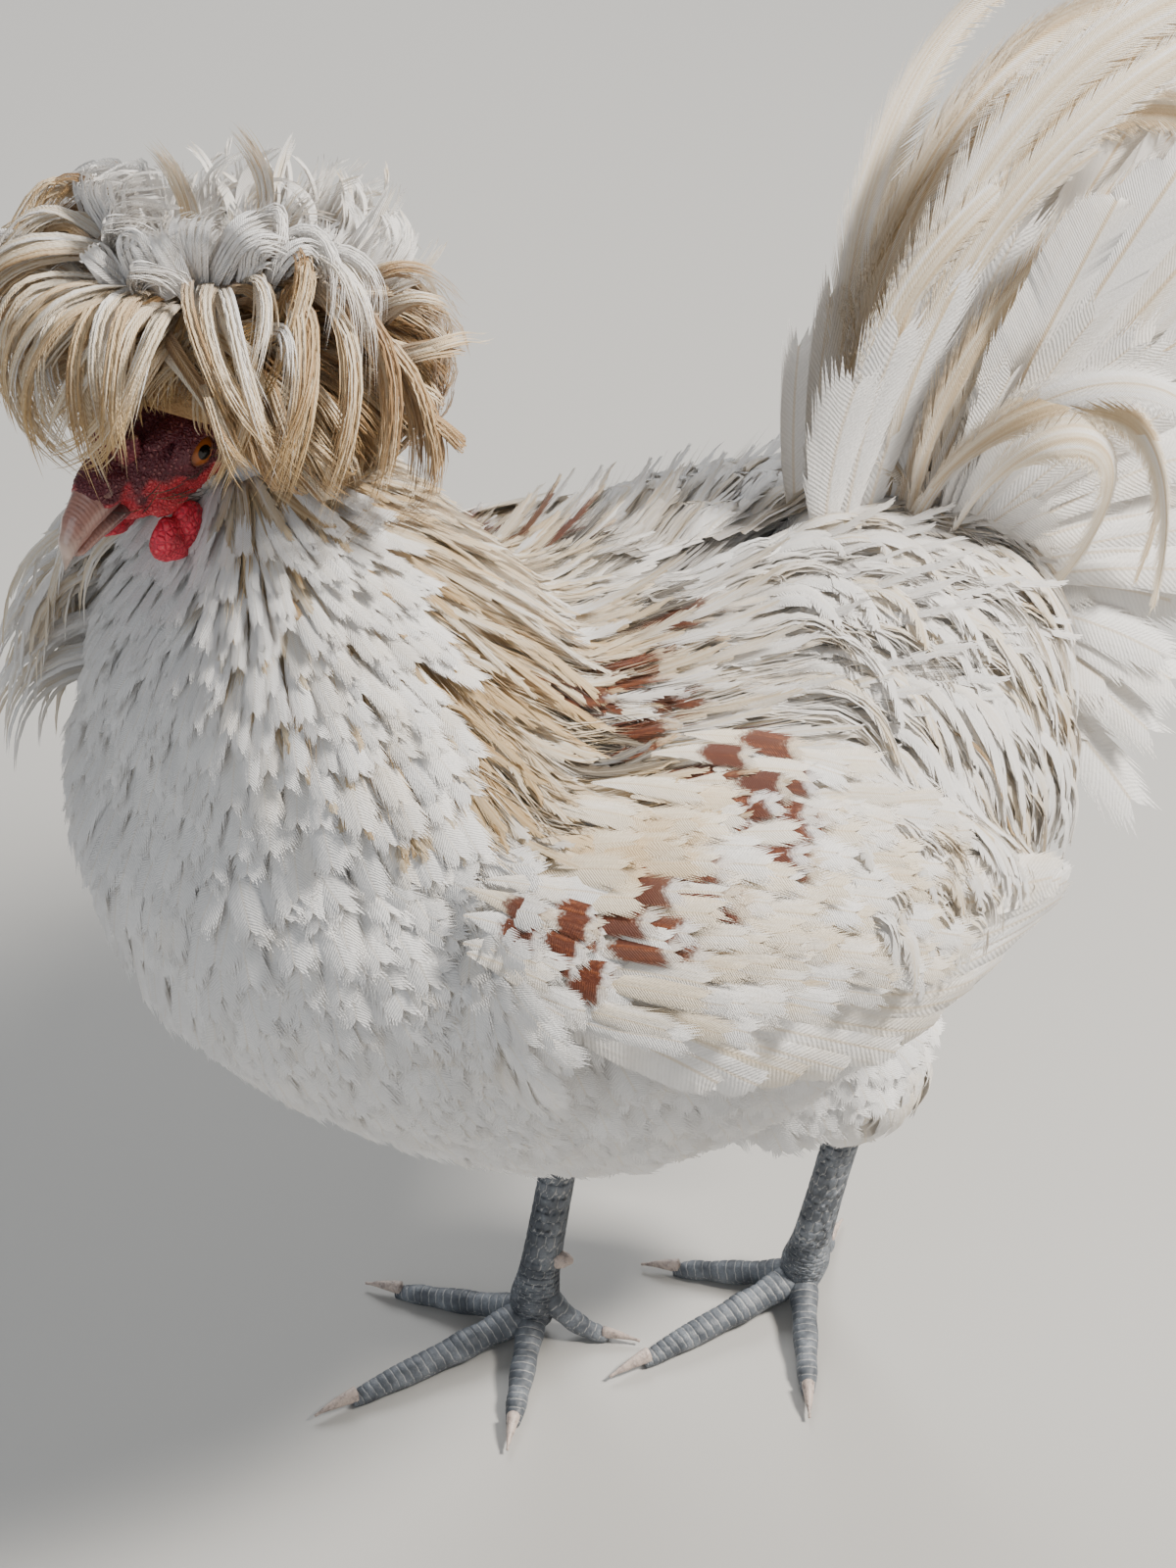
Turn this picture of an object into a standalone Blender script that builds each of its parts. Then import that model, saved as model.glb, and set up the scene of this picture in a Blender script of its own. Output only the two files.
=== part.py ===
"""A standing Polish cockerel at life size: crested, full-tailed, one foot ahead of the other.

Metres, +Z up. The bird faces -X and its left side is -Y. It is laid out round a design origin on the
floor below the middle of the back, and is moved at the end so that the origin is the centre of its base.
"""

import math
import random

import bmesh
import bpy
from mathutils import Matrix, Vector
from mathutils.bvhtree import BVHTree

GAP = 0.0003
FLOOR = Vector((0, 0, 0))
DOWN = Vector((0, 0, -1))

# The vanes of each node as they are made.
PLANTED = {}

# Feathers stand on cores this far inside the outline of the plumage, rooted this much deeper still.
TORSO_COAT = 0.010
NECK_COAT = 0.008
THIGH_COAT = 0.006
WING_COAT = 0.002
ROOT_DEPTH = 0.004
# The core that closes the cuts in the torso stands this far over the one it repairs.
CORE_OVER = 0.00005
DRAPE_VOXEL = 0.005
DRAPE_SMOOTHING = 6
WING_DRAPE = 0.007
JOINER = "MANIFOLD"
FLAT_ANGLE = math.radians(1.5)
PLANE_TOLERANCE = 1e-6
# The width of a vane at its stations, from its root to the last before its point.
LONG_VANE = (0.42, 0.86, 1.0, 0.80)
SHORT_VANE = (0.50, 0.95, 0.88)
BROAD_VANE = (0.40, 0.80, 1.0, 0.94)
LONG_FEATHER = 0.060
# Vanes by thickness, and how far their edges fall below the shaft, as a share of the width.
FINE = 0.0016
MEDIUM = 0.0018
STOUT = 0.0020
SLIGHT_CUP = 0.04
DEEP_CUP = 0.09
TIP_THINNING = 0.45
QUILL_SHARE = 0.2
# How steeply a vane leaves its root, and how far it leans on its neighbour.
RISE_POWER = 0.7
ROLL = 0.22
# How far the end of a tube bulges, as a share of its radius there.
END_BULGE = 0.25
# Two adjoining faces that turn more than this are shaded with a crease.
CREASE = math.radians(50)

# The trunk, plumage included, as sections across the body: place along it, height of the widest line,
# half width, reach above that line and reach below it.
TORSO = (
    (-0.152, 0.260, 0.046, 0.043, 0.047),
    (-0.128, 0.253, 0.071, 0.057, 0.067),
    (-0.085, 0.240, 0.090, 0.070, 0.090),
    (-0.035, 0.228, 0.097, 0.078, 0.103),
    (0.020, 0.222, 0.095, 0.078, 0.095),
    (0.065, 0.224, 0.082, 0.076, 0.074),
    (0.102, 0.230, 0.061, 0.062, 0.052),
    (0.128, 0.236, 0.038, 0.040, 0.036),
)
TORSO_FRONT = Vector((-0.166, 0.0, 0.263))
TORSO_REAR = Vector((0.142, 0.0, 0.245))
TORSO_SIDES = 16

# The trunk's feathers in rows: place along the body, first and last place around it (0 belly, 90 flank,
# 180 back), number on each side, length, width, lift of the tip, and the way they point.
DOWN_AND_BACK = Vector((0.50, 0.0, -1.0))
HANGING = Vector((0.25, 0.0, -1.0))
BACKWARD = Vector((1.0, 0.0, -0.25))
BREAST_ROWS = (
    (-0.158, 70, 150, 2, 0.044, 0.030, 0.004, DOWN_AND_BACK),
    (-0.151, 34, 108, 3, 0.048, 0.031, 0.004, DOWN_AND_BACK),
    (-0.134, 14, 100, 3, 0.052, 0.037, 0.005, DOWN_AND_BACK),
    (-0.106, 12, 84, 3, 0.054, 0.038, 0.006, DOWN_AND_BACK),
    (-0.068, 14, 54, 2, 0.056, 0.038, 0.006, DOWN_AND_BACK),
    (-0.026, 14, 46, 2, 0.050, 0.038, 0.008, HANGING),
    (0.024, 14, 46, 2, 0.048, 0.038, 0.008, HANGING),
    (0.074, 14, 56, 2, 0.044, 0.034, 0.006, HANGING),
)
# The saddle's long feathers lie over the folded wings as well.
SADDLE_ROWS = (
    (-0.034, 158, 172, 2, 0.052, 0.020, 0.009, BACKWARD),
    (0.018, 140, 166, 2, 0.072, 0.018, 0.004, DOWN_AND_BACK),
    (0.048, 120, 158, 3, 0.080, 0.018, 0.004, DOWN_AND_BACK),
    (0.080, 104, 150, 3, 0.080, 0.018, 0.005, DOWN_AND_BACK),
    (0.106, 80, 124, 3, 0.066, 0.017, 0.006, DOWN_AND_BACK),
)

# The neck with its cape: centre line from inside the breast to the nape, half width and half depth.
NECK = (
    (Vector((-0.078, 0.0, 0.250)), 0.078, 0.066),
    (Vector((-0.094, 0.0, 0.288)), 0.075, 0.064),
    (Vector((-0.103, 0.0, 0.318)), 0.062, 0.055),
    (Vector((-0.108, 0.0, 0.344)), 0.047, 0.042),
    (Vector((-0.112, 0.0, 0.364)), 0.033, 0.029),
    (Vector((-0.116, 0.0, 0.384)), 0.022, 0.021),
)
NECK_SIDES = 14
# Its hackles in rings: share of the way up, first and last place around (0 throat, 180 nape), number on
# each side, length, width and lift.
HACKLE_FLOW = Vector((0.42, 0.0, -1.0))
NAPE_FROM_TO = (100, 160)
NAPE_TRIM = 0.35
HACKLE_ROWS = (
    (0.86, 14, 168, 3, 0.044, 0.017, 0.003),
    (0.68, 8, 164, 4, 0.066, 0.018, 0.003),
    (0.47, 22, 170, 5, 0.076, 0.018, 0.004),
    (0.27, 8, 150, 6, 0.066, 0.019, 0.005),
)

# The head is built facing -X about the point midway between its eyes, then turned and set on the neck.
HEAD_PLACE = Vector((-0.1375, -0.0021, 0.3855))
HEAD_TURN = math.radians(22)
HEAD_NOD = math.radians(14)
SKULL = (
    (0.026, 0.000, 0.0110, 0.0110, 0.0120),
    (0.014, 0.001, 0.0152, 0.0160, 0.0165),
    (0.000, 0.001, 0.0146, 0.0155, 0.0165),
    (-0.011, 0.000, 0.0112, 0.0115, 0.0140),
    (-0.0190, -0.001, 0.0076, 0.0080, 0.0092),
)
SKULL_SIDES = 12
SKULL_BACK = Vector((0.031, 0.0, 0.0))
SKULL_FRONT = Vector((-0.0208, 0.0, -0.001))
EYE_PLACE = Vector((-0.0010, 0.0108, 0.0030))
EYE_RADIUS = 0.0057
LID_RADIUS = 0.0051
LID_THICKNESS = 0.0012
LID_OUT = 0.0036
LID_TILT = 12
EYE_SEGMENTS, EYE_RINGS = 14, 8

BILL_SIDES = 12
UPPER_BILL_ROOT = Vector((-0.0150, 0.0, 0.0015))
UPPER_BILL = (
    (-0.0160, 0.0012, 0.0060, 0.0068, 0.0038),
    (-0.0225, 0.0014, 0.0058, 0.0068, 0.0038),
    (-0.0280, 0.0002, 0.0046, 0.0050, 0.0036),
    (-0.0335, -0.0020, 0.0034, 0.0040, 0.0034),
    (-0.0375, -0.0052, 0.0020, 0.0032, 0.0030),
)
UPPER_BILL_TIP = Vector((-0.0396, 0.0, -0.0102))
LOWER_BILL_ROOT = Vector((-0.0150, 0.0, -0.0065))
LOWER_BILL = (
    (-0.0160, -0.0058, 0.0050, 0.0030, 0.0034),
    (-0.0235, -0.0062, 0.0042, 0.0028, 0.0032),
    (-0.0300, -0.0072, 0.0030, 0.0022, 0.0026),
    (-0.0340, -0.0084, 0.0019, 0.0012, 0.0018),
)
LOWER_BILL_TIP = Vector((-0.0354, 0.0, -0.0088))
NOSTRIL_PLACE = Vector((-0.0225, 0.0048, 0.0046))
NOSTRIL_SIZE = Vector((0.0026, 0.0016, 0.0011))

COMB_PLACE = Vector((-0.0150, 0.0, 0.0085))
COMB_SPREAD = math.radians(36)
COMB_LEAN = 0.25
COMB_APART = 0.0016
COMB_SUNK = 0.003
COMB_LENGTH = 0.0105
# Shares of the way up a horn of the comb, with its half width and half depth there.
COMB_HORN = (
    (0.0, (0.0027, 0.0032)),
    (0.45, (0.0025, 0.0030)),
    (0.80, (0.0016, 0.0019)),
    (1.0, (0.0007, 0.0007)),
)
WATTLE_PLACE = Vector((-0.0118, 0.0100, -0.0165))
WATTLE_SIZE = Vector((0.0072, 0.0034, 0.0076))
WATTLE_CREASE = 0.0016
WATTLE_CREASE_WIDTH = 0.0024
WATTLE_PINCH = 0.35

# The crest is a flattened globe over the crown, cut by a plane that clears the brow and falls to the nape.
CREST_PLACE = Vector((-0.1120, 0.0020, 0.4010))
CREST_SIZE = Vector((0.0540, 0.0520, 0.0385))
CREST_BROW = Vector((-0.0010, 0.0, 0.0145))
CREST_SLOPE = 0.80
CREST_CORE = 0.74
# Its locks in tiers from the crown outwards: slant from upright of their roots, number, length and lift.
LOCK_TIERS = (
    (14, 5, 0.040, 0.009),
    (40, 10, 0.052, 0.007),
    (66, 15, 0.047, 0.006),
)
LOCK_WIDTH = 0.0165
LOCK_FALL = 0.8
LOCK_SWIRL = 0.35
# The locks over the face are shorter by this share, and all root this far down towards the core.
FACE_TRIM = 0.30
LOCK_ROOT_SHARE = 0.75
WISP_WIDTH = 0.0065
WISP_BEND = Vector((0.003, 0.0, 0.0))
# The wisps turn their flat to the bird's left and front.
WISP_FACING = Vector((-0.43, -0.69, 0.3))
WISPS = (
    (Vector((-0.120, -0.004, 0.432)), Vector((-0.130, 0.004, 0.451))),
    (Vector((-0.106, 0.004, 0.433)), Vector((-0.107, 0.004, 0.455))),
    (Vector((-0.090, -0.002, 0.430)), Vector((-0.076, 0.002, 0.446))),
)

# The folded wing as a plate on the flank: place along it, mid height, half height and half thickness.
WING = (
    (-0.096, 0.254, 0.024, 0.0050),
    (-0.070, 0.250, 0.040, 0.0075),
    (-0.020, 0.236, 0.048, 0.0080),
    (0.030, 0.216, 0.043, 0.0070),
    (0.070, 0.196, 0.031, 0.0055),
    (0.098, 0.183, 0.019, 0.0040),
)
WING_FRONT = -0.104
WING_REAR = 0.112
WING_REAR_HEIGHT = 0.177
WING_STAND_OFF = 0.0075
WING_SIDES = 10
# Flight feathers on the outer face, lowest first: root and tip as place along and height.
FLIGHTS = (
    ((-0.072, 0.238), (-0.004, 0.172)),
    ((-0.046, 0.224), (0.034, 0.158)),
    ((-0.018, 0.214), (0.070, 0.158)),
    ((0.002, 0.214), (0.102, 0.166)),
    ((0.014, 0.226), (0.112, 0.181)),
    ((0.020, 0.240), (0.106, 0.198)),
)
FLIGHT_WIDTH = 0.025
FLIGHT_ARCH = 0.006
FLIGHT_FACING = Vector((0.0, 1.0, 0.12))
# Each layer of the wing stands this much further out than the one under it.
LAYER = 0.0016
# Coverts over their roots: height above the wing's middle line as a share, places along, length, width.
COVERTS = (
    (0.70, (-0.060, -0.018), 0.046, 0.034),
    (0.26, (-0.080, -0.040, 0.002), 0.046, 0.034),
    (-0.20, (-0.090, -0.050), 0.042, 0.030),
)
COVERT_FACING = Vector((-0.1, 1.0, 0.15))
COVERT_RISE = 0.0055
COVERT_RISE_LOSS = 0.0020
COVERT_SEAT = 0.6
COVERT_SLOPE = 0.40
COVERT_REACH = 0.92
COVERT_SPREAD = 0.0008

# The tail grows from a mound behind the saddle. Its main feathers fan out in two leaning sheets, with
# curved sickles over them: rise in degrees, length, lean outwards.
MOUND_PLACE = Vector((0.092, 0.0, 0.270))
MOUND_SIZE = Vector((0.030, 0.012, 0.032))
FAN = (
    (-14, 0.088, 0.012),
    (4, 0.130, 0.016),
    (18, 0.168, 0.020),
    (31, 0.186, 0.022),
    (44, 0.182, 0.022),
    (57, 0.160, 0.019),
    (71, 0.112, 0.015),
)
FAN_WIDTH = 0.040
FAN_ROOT = 0.018
FAN_ROOT_APART = 0.004
FAN_ARCH = 0.05
FAN_FACING = Vector((0.10, 1.0, 0.25))
# A short fan feather is narrower, down to this share of the widest.
FAN_LEAST_WIDTH = 0.72
LONGEST_FAN = 0.186
# Each sickle by its four guide points; y is outwards from the middle.
SICKLES = (
    (Vector((0.080, 0.006, 0.300)), Vector((0.070, 0.010, 0.400)), Vector((0.140, 0.014, 0.462)),
     Vector((0.252, 0.020, 0.398))),
    (Vector((0.086, 0.010, 0.296)), Vector((0.090, 0.018, 0.380)), Vector((0.190, 0.030, 0.430)),
     Vector((0.292, 0.030, 0.330))),
    (Vector((0.092, 0.014, 0.290)), Vector((0.110, 0.034, 0.366)), Vector((0.188, 0.044, 0.360)),
     Vector((0.176, 0.034, 0.246))),
    (Vector((0.076, 0.004, 0.304)), Vector((0.052, 0.008, 0.340)), Vector((0.060, 0.010, 0.372)),
     Vector((0.096, 0.012, 0.404))),
)
SICKLE_WIDTH = 0.026
SICKLE_FACING = Vector((0.25, 1.0, 0.35))

# Each leg: foot centre, hock, and the way the middle toe points, in degrees towards the midline.
LEGS = {
    "left": {"side": -1, "foot": Vector((0.0610, -0.0170, 0.0)), "hock": Vector((0.0740, -0.0260, 0.106))},
    "right": {"side": 1, "foot": Vector((-0.0260, 0.0170, 0.0)), "hock": Vector((-0.0020, 0.0260, 0.106))},
}
# The thigh in shares of the way from hock to knee, with its half width and half depth.
THIGH = (
    (-0.10, (0.0135, 0.0145)),
    (0.12, (0.021, 0.024)),
    (0.40, (0.026, 0.033)),
    (0.70, (0.026, 0.036)),
    (1.0, (0.022, 0.030)),
)
THIGH_FEATHERS = 7
TUFT_START = 0.62
TUFT_LENGTH = 0.036
TUFT_WIDTH = 0.024
THIGH_SIDES = 12
TUFT_LIFT = -0.0012
KNEE = {"left": Vector((0.034, -0.033, 0.156)), "right": Vector((-0.034, 0.033, 0.156))}
ANKLE_HEIGHT = 0.0125
SHANK_SIDES = 10
# The shank in shares of the way from foot to hock, with its half width and half depth.
SHANK = (
    (-0.06, (0.0066, 0.0072)),
    (0.04, (0.0078, 0.0085)),
    (0.16, (0.0060, 0.0072)),
    (0.50, (0.0054, 0.0066)),
    (0.82, (0.0062, 0.0074)),
    (1.0, (0.0078, 0.0092)),
)

# Toes: heading from straight ahead towards the midline, length of the fleshy toe, radius at its root,
# height of its root, and length of its claw.
TOES = {
    "left": {
        "middle": (0, 0.060, 0.0056, 0.0085, 0.0135),
        "inner": (43, 0.040, 0.0050, 0.0080, 0.0115),
        "outer": (-57, 0.043, 0.0050, 0.0080, 0.0115),
        "hind": (148, 0.021, 0.0043, 0.0165, 0.0110),
    },
    "right": {
        "middle": (-2, 0.064, 0.0056, 0.0085, 0.0135),
        "inner": (50, 0.040, 0.0050, 0.0080, 0.0115),
        "outer": (-50, 0.045, 0.0050, 0.0080, 0.0115),
        "hind": (136, 0.021, 0.0043, 0.0165, 0.0110),
    },
}
TOE_SIDES = 8
TOE_START = 0.0045
TOE_STATIONS = (0.0, 0.22, 0.45, 0.70, 0.92, 1.0)
TOE_TAPER = 0.34
TOE_FALL = 2.2
TOE_DEPTH_SHARE = 0.96
# The claw, thinner than its toe by a share, set a little into the toe's end and curving down.
CLAW_STATIONS = (0.0, 0.3, 0.6, 0.85, 1.0)
CLAW_THICKNESS = 0.62
CLAW_OUT = 0.0002
CLAW_UP = 0.0009
CLAW_DROP = 0.55
CLAW_CURVE = 1.8
CLAW_POINT = 0.0007
FLAT_DEPTH = 0.0007
SPUR_HEIGHT = 0.030
SPUR_WAY = Vector((0.72, -0.70, 0.05))
# The spur in distances from the middle of the shank, with its radius.
SPUR = ((0.0030, 0.0034), (0.0065, 0.0031), (0.0090, 0.0022), (0.0105, 0.0011))

COLOURS = {
    "white_plumage": ((0.86, 0.82, 0.76), 0.75),
    "buff_plumage": ((0.74, 0.60, 0.42), 0.75),
    "red_skin": ((0.70, 0.05, 0.05), 0.5),
    "bill_horn": ((0.52, 0.40, 0.36), 0.35),
    "slate_scales": ((0.20, 0.23, 0.28), 0.45),
    "claw_horn": ((0.66, 0.58, 0.52), 0.4),
    "eye_orange": ((0.45, 0.14, 0.03), 0.1),
}


def clear_scene():
    for thing in list(bpy.data.objects):
        bpy.data.objects.remove(thing, do_unlink=True)


def make_materials():
    made = {}
    for name, (colour, roughness) in COLOURS.items():
        material = bpy.data.materials.new(name)
        material.use_nodes = True
        shader = material.node_tree.nodes["Principled BSDF"]
        shader.inputs["Base Color"].default_value = (*colour, 1.0)
        shader.inputs["Roughness"].default_value = roughness
        shader.inputs["Metallic"].default_value = 0.0
        made[name] = material
    return made


def new_object(name, mesh, home):
    thing = bpy.data.objects.new(name, mesh)
    home.objects.link(thing)
    return thing


def loft(name, rings, first, last, home):
    """A closed solid through rings of equal count, with a point closing each end."""
    shape = bmesh.new()
    rows = [[shape.verts.new(point) for point in ring] for ring in rings]
    start, end = shape.verts.new(first), shape.verts.new(last)
    count = len(rings[0])
    for step in range(count):
        after = (step + 1) % count
        shape.faces.new((start, rows[0][step], rows[0][after]))
        shape.faces.new((end, rows[-1][after], rows[-1][step]))
        for row, onward in zip(rows, rows[1:]):
            shape.faces.new((row[step], onward[step], onward[after], row[after]))
    bmesh.ops.recalc_face_normals(shape, faces=shape.faces)
    bmesh.ops.triangulate(shape, faces=shape.faces)
    mesh = bpy.data.meshes.new(name)
    shape.to_mesh(mesh)
    shape.free()
    mesh.shade_smooth()
    return new_object(name, mesh, home)


def oval(centre, across, up, half_width, reach_up, reach_down, sides):
    """Points round an oval whose upper and lower halves may differ."""
    points = []
    for step in range(sides):
        angle = 2 * math.pi * step / sides
        rise = math.sin(angle)
        reach = reach_up if rise >= 0 else reach_down
        points.append(centre + across * half_width * math.cos(angle) + up * reach * rise)
    return points


def body_loft(name, sections, front, rear, sides, home, grow=0.0):
    """A solid through upright sections (x, z, half width, up, down), grown by a clearance if asked."""
    across, upright = Vector((0, 1, 0)), Vector((0, 0, 1))
    rings = [
        oval(Vector((x, 0, z)), across, upright, width + grow, up + grow, down + grow, sides)
        for x, z, width, up, down in sections
    ]
    along = (rear - front).normalized() * grow
    return loft(name, rings, front - along, rear + along, home)


def swept(name, spine, radii, sides, home, grow=0.0, side_way=Vector((0, 1, 0))):
    """A tube along a spine, each ring square to it, with a half width and a half depth at each point."""
    rings = []
    for index, (point, (width, depth)) in enumerate(zip(spine, radii)):
        before = spine[max(index - 1, 0)]
        after = spine[min(index + 1, len(spine) - 1)]
        along = (after - before).normalized()
        up = along.cross(side_way).normalized()
        across = up.cross(along).normalized()
        rings.append(oval(point, across, up, width + grow, depth + grow, depth + grow, sides))
    lead = (spine[0] - spine[1]).normalized() * (min(radii[0]) * END_BULGE + grow)
    trail = (spine[-1] - spine[-2]).normalized() * (min(radii[-1]) * END_BULGE + grow)
    return loft(name, rings, spine[0] + lead, spine[-1] + trail, home)


def ellipsoid(name, centre, size, home, segments=16, rings=10, turn=None):
    shape = bmesh.new()
    bmesh.ops.create_uvsphere(shape, u_segments=segments, v_segments=rings, radius=1.0)
    place = Matrix.Translation(centre) @ (turn or Matrix.Identity(4)) @ Matrix.Diagonal((*size, 1.0))
    bmesh.ops.transform(shape, matrix=place, verts=shape.verts)
    bmesh.ops.triangulate(shape, faces=shape.faces)
    mesh = bpy.data.meshes.new(name)
    shape.to_mesh(mesh)
    shape.free()
    mesh.shade_smooth()
    return new_object(name, mesh, home)


def apply_boolean(target, others, operation, solver="EXACT"):
    """Joins or cuts target by a collection of closed meshes, and removes them."""
    if not others:
        return target
    group = bpy.data.collections.new("operands")
    for other in others:
        group.objects.link(other)
    change = target.modifiers.new("boolean", "BOOLEAN")
    change.operation = operation
    change.operand_type = "COLLECTION"
    change.collection = group
    change.solver = solver
    graph = bpy.context.evaluated_depsgraph_get()
    mesh = bpy.data.meshes.new_from_object(target.evaluated_get(graph))
    target.modifiers.clear()
    old, target.data = target.data, mesh
    bpy.data.meshes.remove(old)
    for other in others:
        bpy.data.objects.remove(other, do_unlink=True)
    bpy.data.collections.remove(group)
    return target


def vane(name, spine, normals, width, thickness, home, cup=DEEP_CUP, outline=LONG_VANE, grow=0.0):
    """A feather's blade, ridged along its shaft, tapering to a point; both faces are split alike."""
    shape = bmesh.new()
    rows = []
    for index, share in enumerate(outline):
        along = (spine[index + 1] - spine[max(index - 1, 0)]).normalized()
        across = along.cross(normals[index]).normalized()
        up = across.cross(along)
        half = across * (width / 2 * share + grow)
        deep = up * (thickness / 2 * (1 - TIP_THINNING * index / len(outline)) + grow)
        point = spine[index]
        edge = point - up * cup * width * share
        ring = [edge - half, point + deep, edge + half, point - deep]
        if grow:
            blunt = up * grow
            ring = [ring[0] + blunt, ring[1], ring[2] + blunt, ring[2] - blunt, ring[3], ring[0] - blunt]
        rows.append([shape.verts.new(corner) for corner in ring])
    start = shape.verts.new(spine[0] + (spine[0] - spine[1]).normalized() * (width * QUILL_SHARE + grow))
    end = shape.verts.new(spine[-1] + (spine[-1] - spine[-2]).normalized() * 2 * grow)
    count = len(rows[0])
    ridges = (1, count // 2 + 1)
    for step in range(count):
        after = (step + 1) % count
        shape.faces.new((start, rows[0][step], rows[0][after]))
        shape.faces.new((end, rows[-1][after], rows[-1][step]))
        for row, onward in zip(rows, rows[1:]):
            if after in ridges:
                shape.faces.new((row[step], onward[step], onward[after]))
                shape.faces.new((row[step], onward[after], row[after]))
            else:
                shape.faces.new((row[step], onward[step], row[after]))
                shape.faces.new((onward[step], onward[after], row[after]))
    bmesh.ops.recalc_face_normals(shape, faces=shape.faces)
    mesh = bpy.data.meshes.new(name)
    shape.to_mesh(mesh)
    shape.free()
    return new_object(name, mesh, home)


def planted(node, home, name, *shape):
    """Makes a vane and remembers it, so that a neighbouring node can be cut clear of it."""
    PLANTED.setdefault(node, []).append(shape)
    return vane(name, *shape[:4], home, *shape[4:])


def clearances(node, home):
    """Every vane of a node, grown by the gap."""
    grown = []
    for shape in PLANTED[node]:
        grown.append(vane("cutter", *shape[:4], home, *shape[4:], grow=GAP))
    return grown


def tree_of(thing):
    """A lookup of the nearest surface of a mesh."""
    shape = bmesh.new()
    shape.from_mesh(thing.data)
    tree = BVHTree.FromBMesh(shape)
    shape.free()
    return tree


def laid(tree, start, flow, length, lift, sink, outline=LONG_VANE, roll=0.0):
    """Spine and normals of a vane that runs along a surface from a sunken root to a lifted tip.

    A roll leans each blade sideways, so that one edge lies over its neighbour like a roof tile.
    """
    spine, normals = [], []
    spot = start
    steps = len(outline)
    for step in range(steps + 1):
        place, normal, _, _ = tree.find_nearest(spot)
        height = -sink + (sink + lift) * (step / steps) ** RISE_POWER
        spine.append(place + normal * height)
        way = (flow - normal * flow.dot(normal)).normalized()
        normals.append((normal + way.cross(normal) * roll).normalized())
        spot = place + way * length / steps
    return spine, normals


def smooth_step(value, low, high):
    share = min(1.0, max(0.0, (value - low) / (high - low)))
    return share * share * (3 - 2 * share)


def curved(points):
    """The stations of a long vane on a smooth curve drawn by four guide points."""
    spine = []
    for step in range(len(LONG_VANE) + 1):
        t = step / len(LONG_VANE)
        weights = ((1 - t) ** 3, 3 * t * (1 - t) ** 2, 3 * t**2 * (1 - t), t**3)
        spine.append(sum((point * weight for point, weight in zip(points, weights)), Vector()))
    return spine


def between(table, x):
    """A row of a body table at any place along the body."""
    for near, far in zip(table, table[1:]):
        if x <= far[0]:
            share = (x - near[0]) / (far[0] - near[0])
            return [a + (b - a) * share for a, b in zip(near, far)]
    return list(table[-1])


def torso_spot(x, around, side):
    """A point of the plumage's outline: around is 0 at the belly, 90 at the flank and 180 at the back."""
    _, mid, width, up, down = between(TORSO, x)
    turn = math.radians(around)
    reach = down if around < 90 else up
    return Vector((x, side * width * math.sin(turn), mid - reach * math.cos(turn)))


def keep_largest(thing):
    """Drops every loose shell but the one with the most volume, and splits what is left into triangles."""
    shape = bmesh.new()
    shape.from_mesh(thing.data)
    bmesh.ops.triangulate(shape, faces=shape.faces)
    unseen = set(shape.faces)
    shells = []
    while unseen:
        seed = unseen.pop()
        shell, front = [seed], [seed]
        while front:
            for edge in front.pop().edges:
                if len(edge.link_faces) > 2:
                    continue
                for near in edge.link_faces:
                    if near in unseen:
                        unseen.remove(near)
                        shell.append(near)
                        front.append(near)
        shells.append(shell)

    def volume(shell):
        return sum(f.verts[0].co.dot(f.verts[1].co.cross(f.verts[2].co)) for f in shell)

    kept = max(shells, key=volume)
    doomed = [face for shell in shells if shell is not kept for face in shell]
    bmesh.ops.delete(shape, geom=doomed, context="FACES")
    loose = [vert for vert in shape.verts if not vert.link_faces]
    bmesh.ops.delete(shape, geom=loose, context="VERTS")
    bmesh.ops.dissolve_limit(shape, angle_limit=FLAT_ANGLE, verts=shape.verts, edges=shape.edges)
    bmesh.ops.triangulate(shape, faces=shape.faces)
    shape.to_mesh(thing.data)
    shape.free()


def finish_node(thing, material):
    keep_largest(thing)
    thing.data.materials.clear()
    thing.data.materials.append(material)
    thing.data.shade_smooth()
    thing.data.set_sharp_from_angle(angle=CREASE)


def cut_off(thing, point, normal):
    """Removes what lies beyond a plane, on the side its normal points to, and closes the cut."""
    shape = bmesh.new()
    shape.from_mesh(thing.data)
    parts = list(shape.verts) + list(shape.edges) + list(shape.faces)
    cut = bmesh.ops.bisect_plane(
        shape, geom=parts, dist=PLANE_TOLERANCE, plane_co=point, plane_no=normal, clear_outer=True
    )
    rim = [item for item in cut["geom_cut"] if isinstance(item, bmesh.types.BMEdge)]
    bmesh.ops.holes_fill(shape, edges=rim)
    bmesh.ops.triangulate(shape, faces=shape.faces)
    bmesh.ops.recalc_face_normals(shape, faces=shape.faces)
    shape.to_mesh(thing.data)
    shape.free()


def head_matrix():
    """Turns what is built facing -X at the origin to the head's own place and set."""
    turn = Matrix.Rotation(HEAD_TURN, 4, "Z")
    nod = Matrix.Rotation(-HEAD_NOD, 4, "Y")
    return Matrix.Translation(HEAD_PLACE) @ turn @ nod


def mirrored(point, side):
    return Vector((point.x, point.y * side, point.z))


def torso_shape(name, home, grow=0.0):
    return body_loft(name, TORSO, TORSO_FRONT, TORSO_REAR, TORSO_SIDES, home, grow)


def neck_shape(name, home, grow=0.0):
    spine = [point for point, _, _ in NECK]
    radii = [(width, depth) for _, width, depth in NECK]
    return swept(name, spine, radii, NECK_SIDES, home, grow)


def skull_shape(name, home, grow=0.0):
    skull = body_loft(name, SKULL, SKULL_BACK, SKULL_FRONT, SKULL_SIDES, home, grow)
    skull.data.transform(head_matrix())
    return skull


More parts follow.
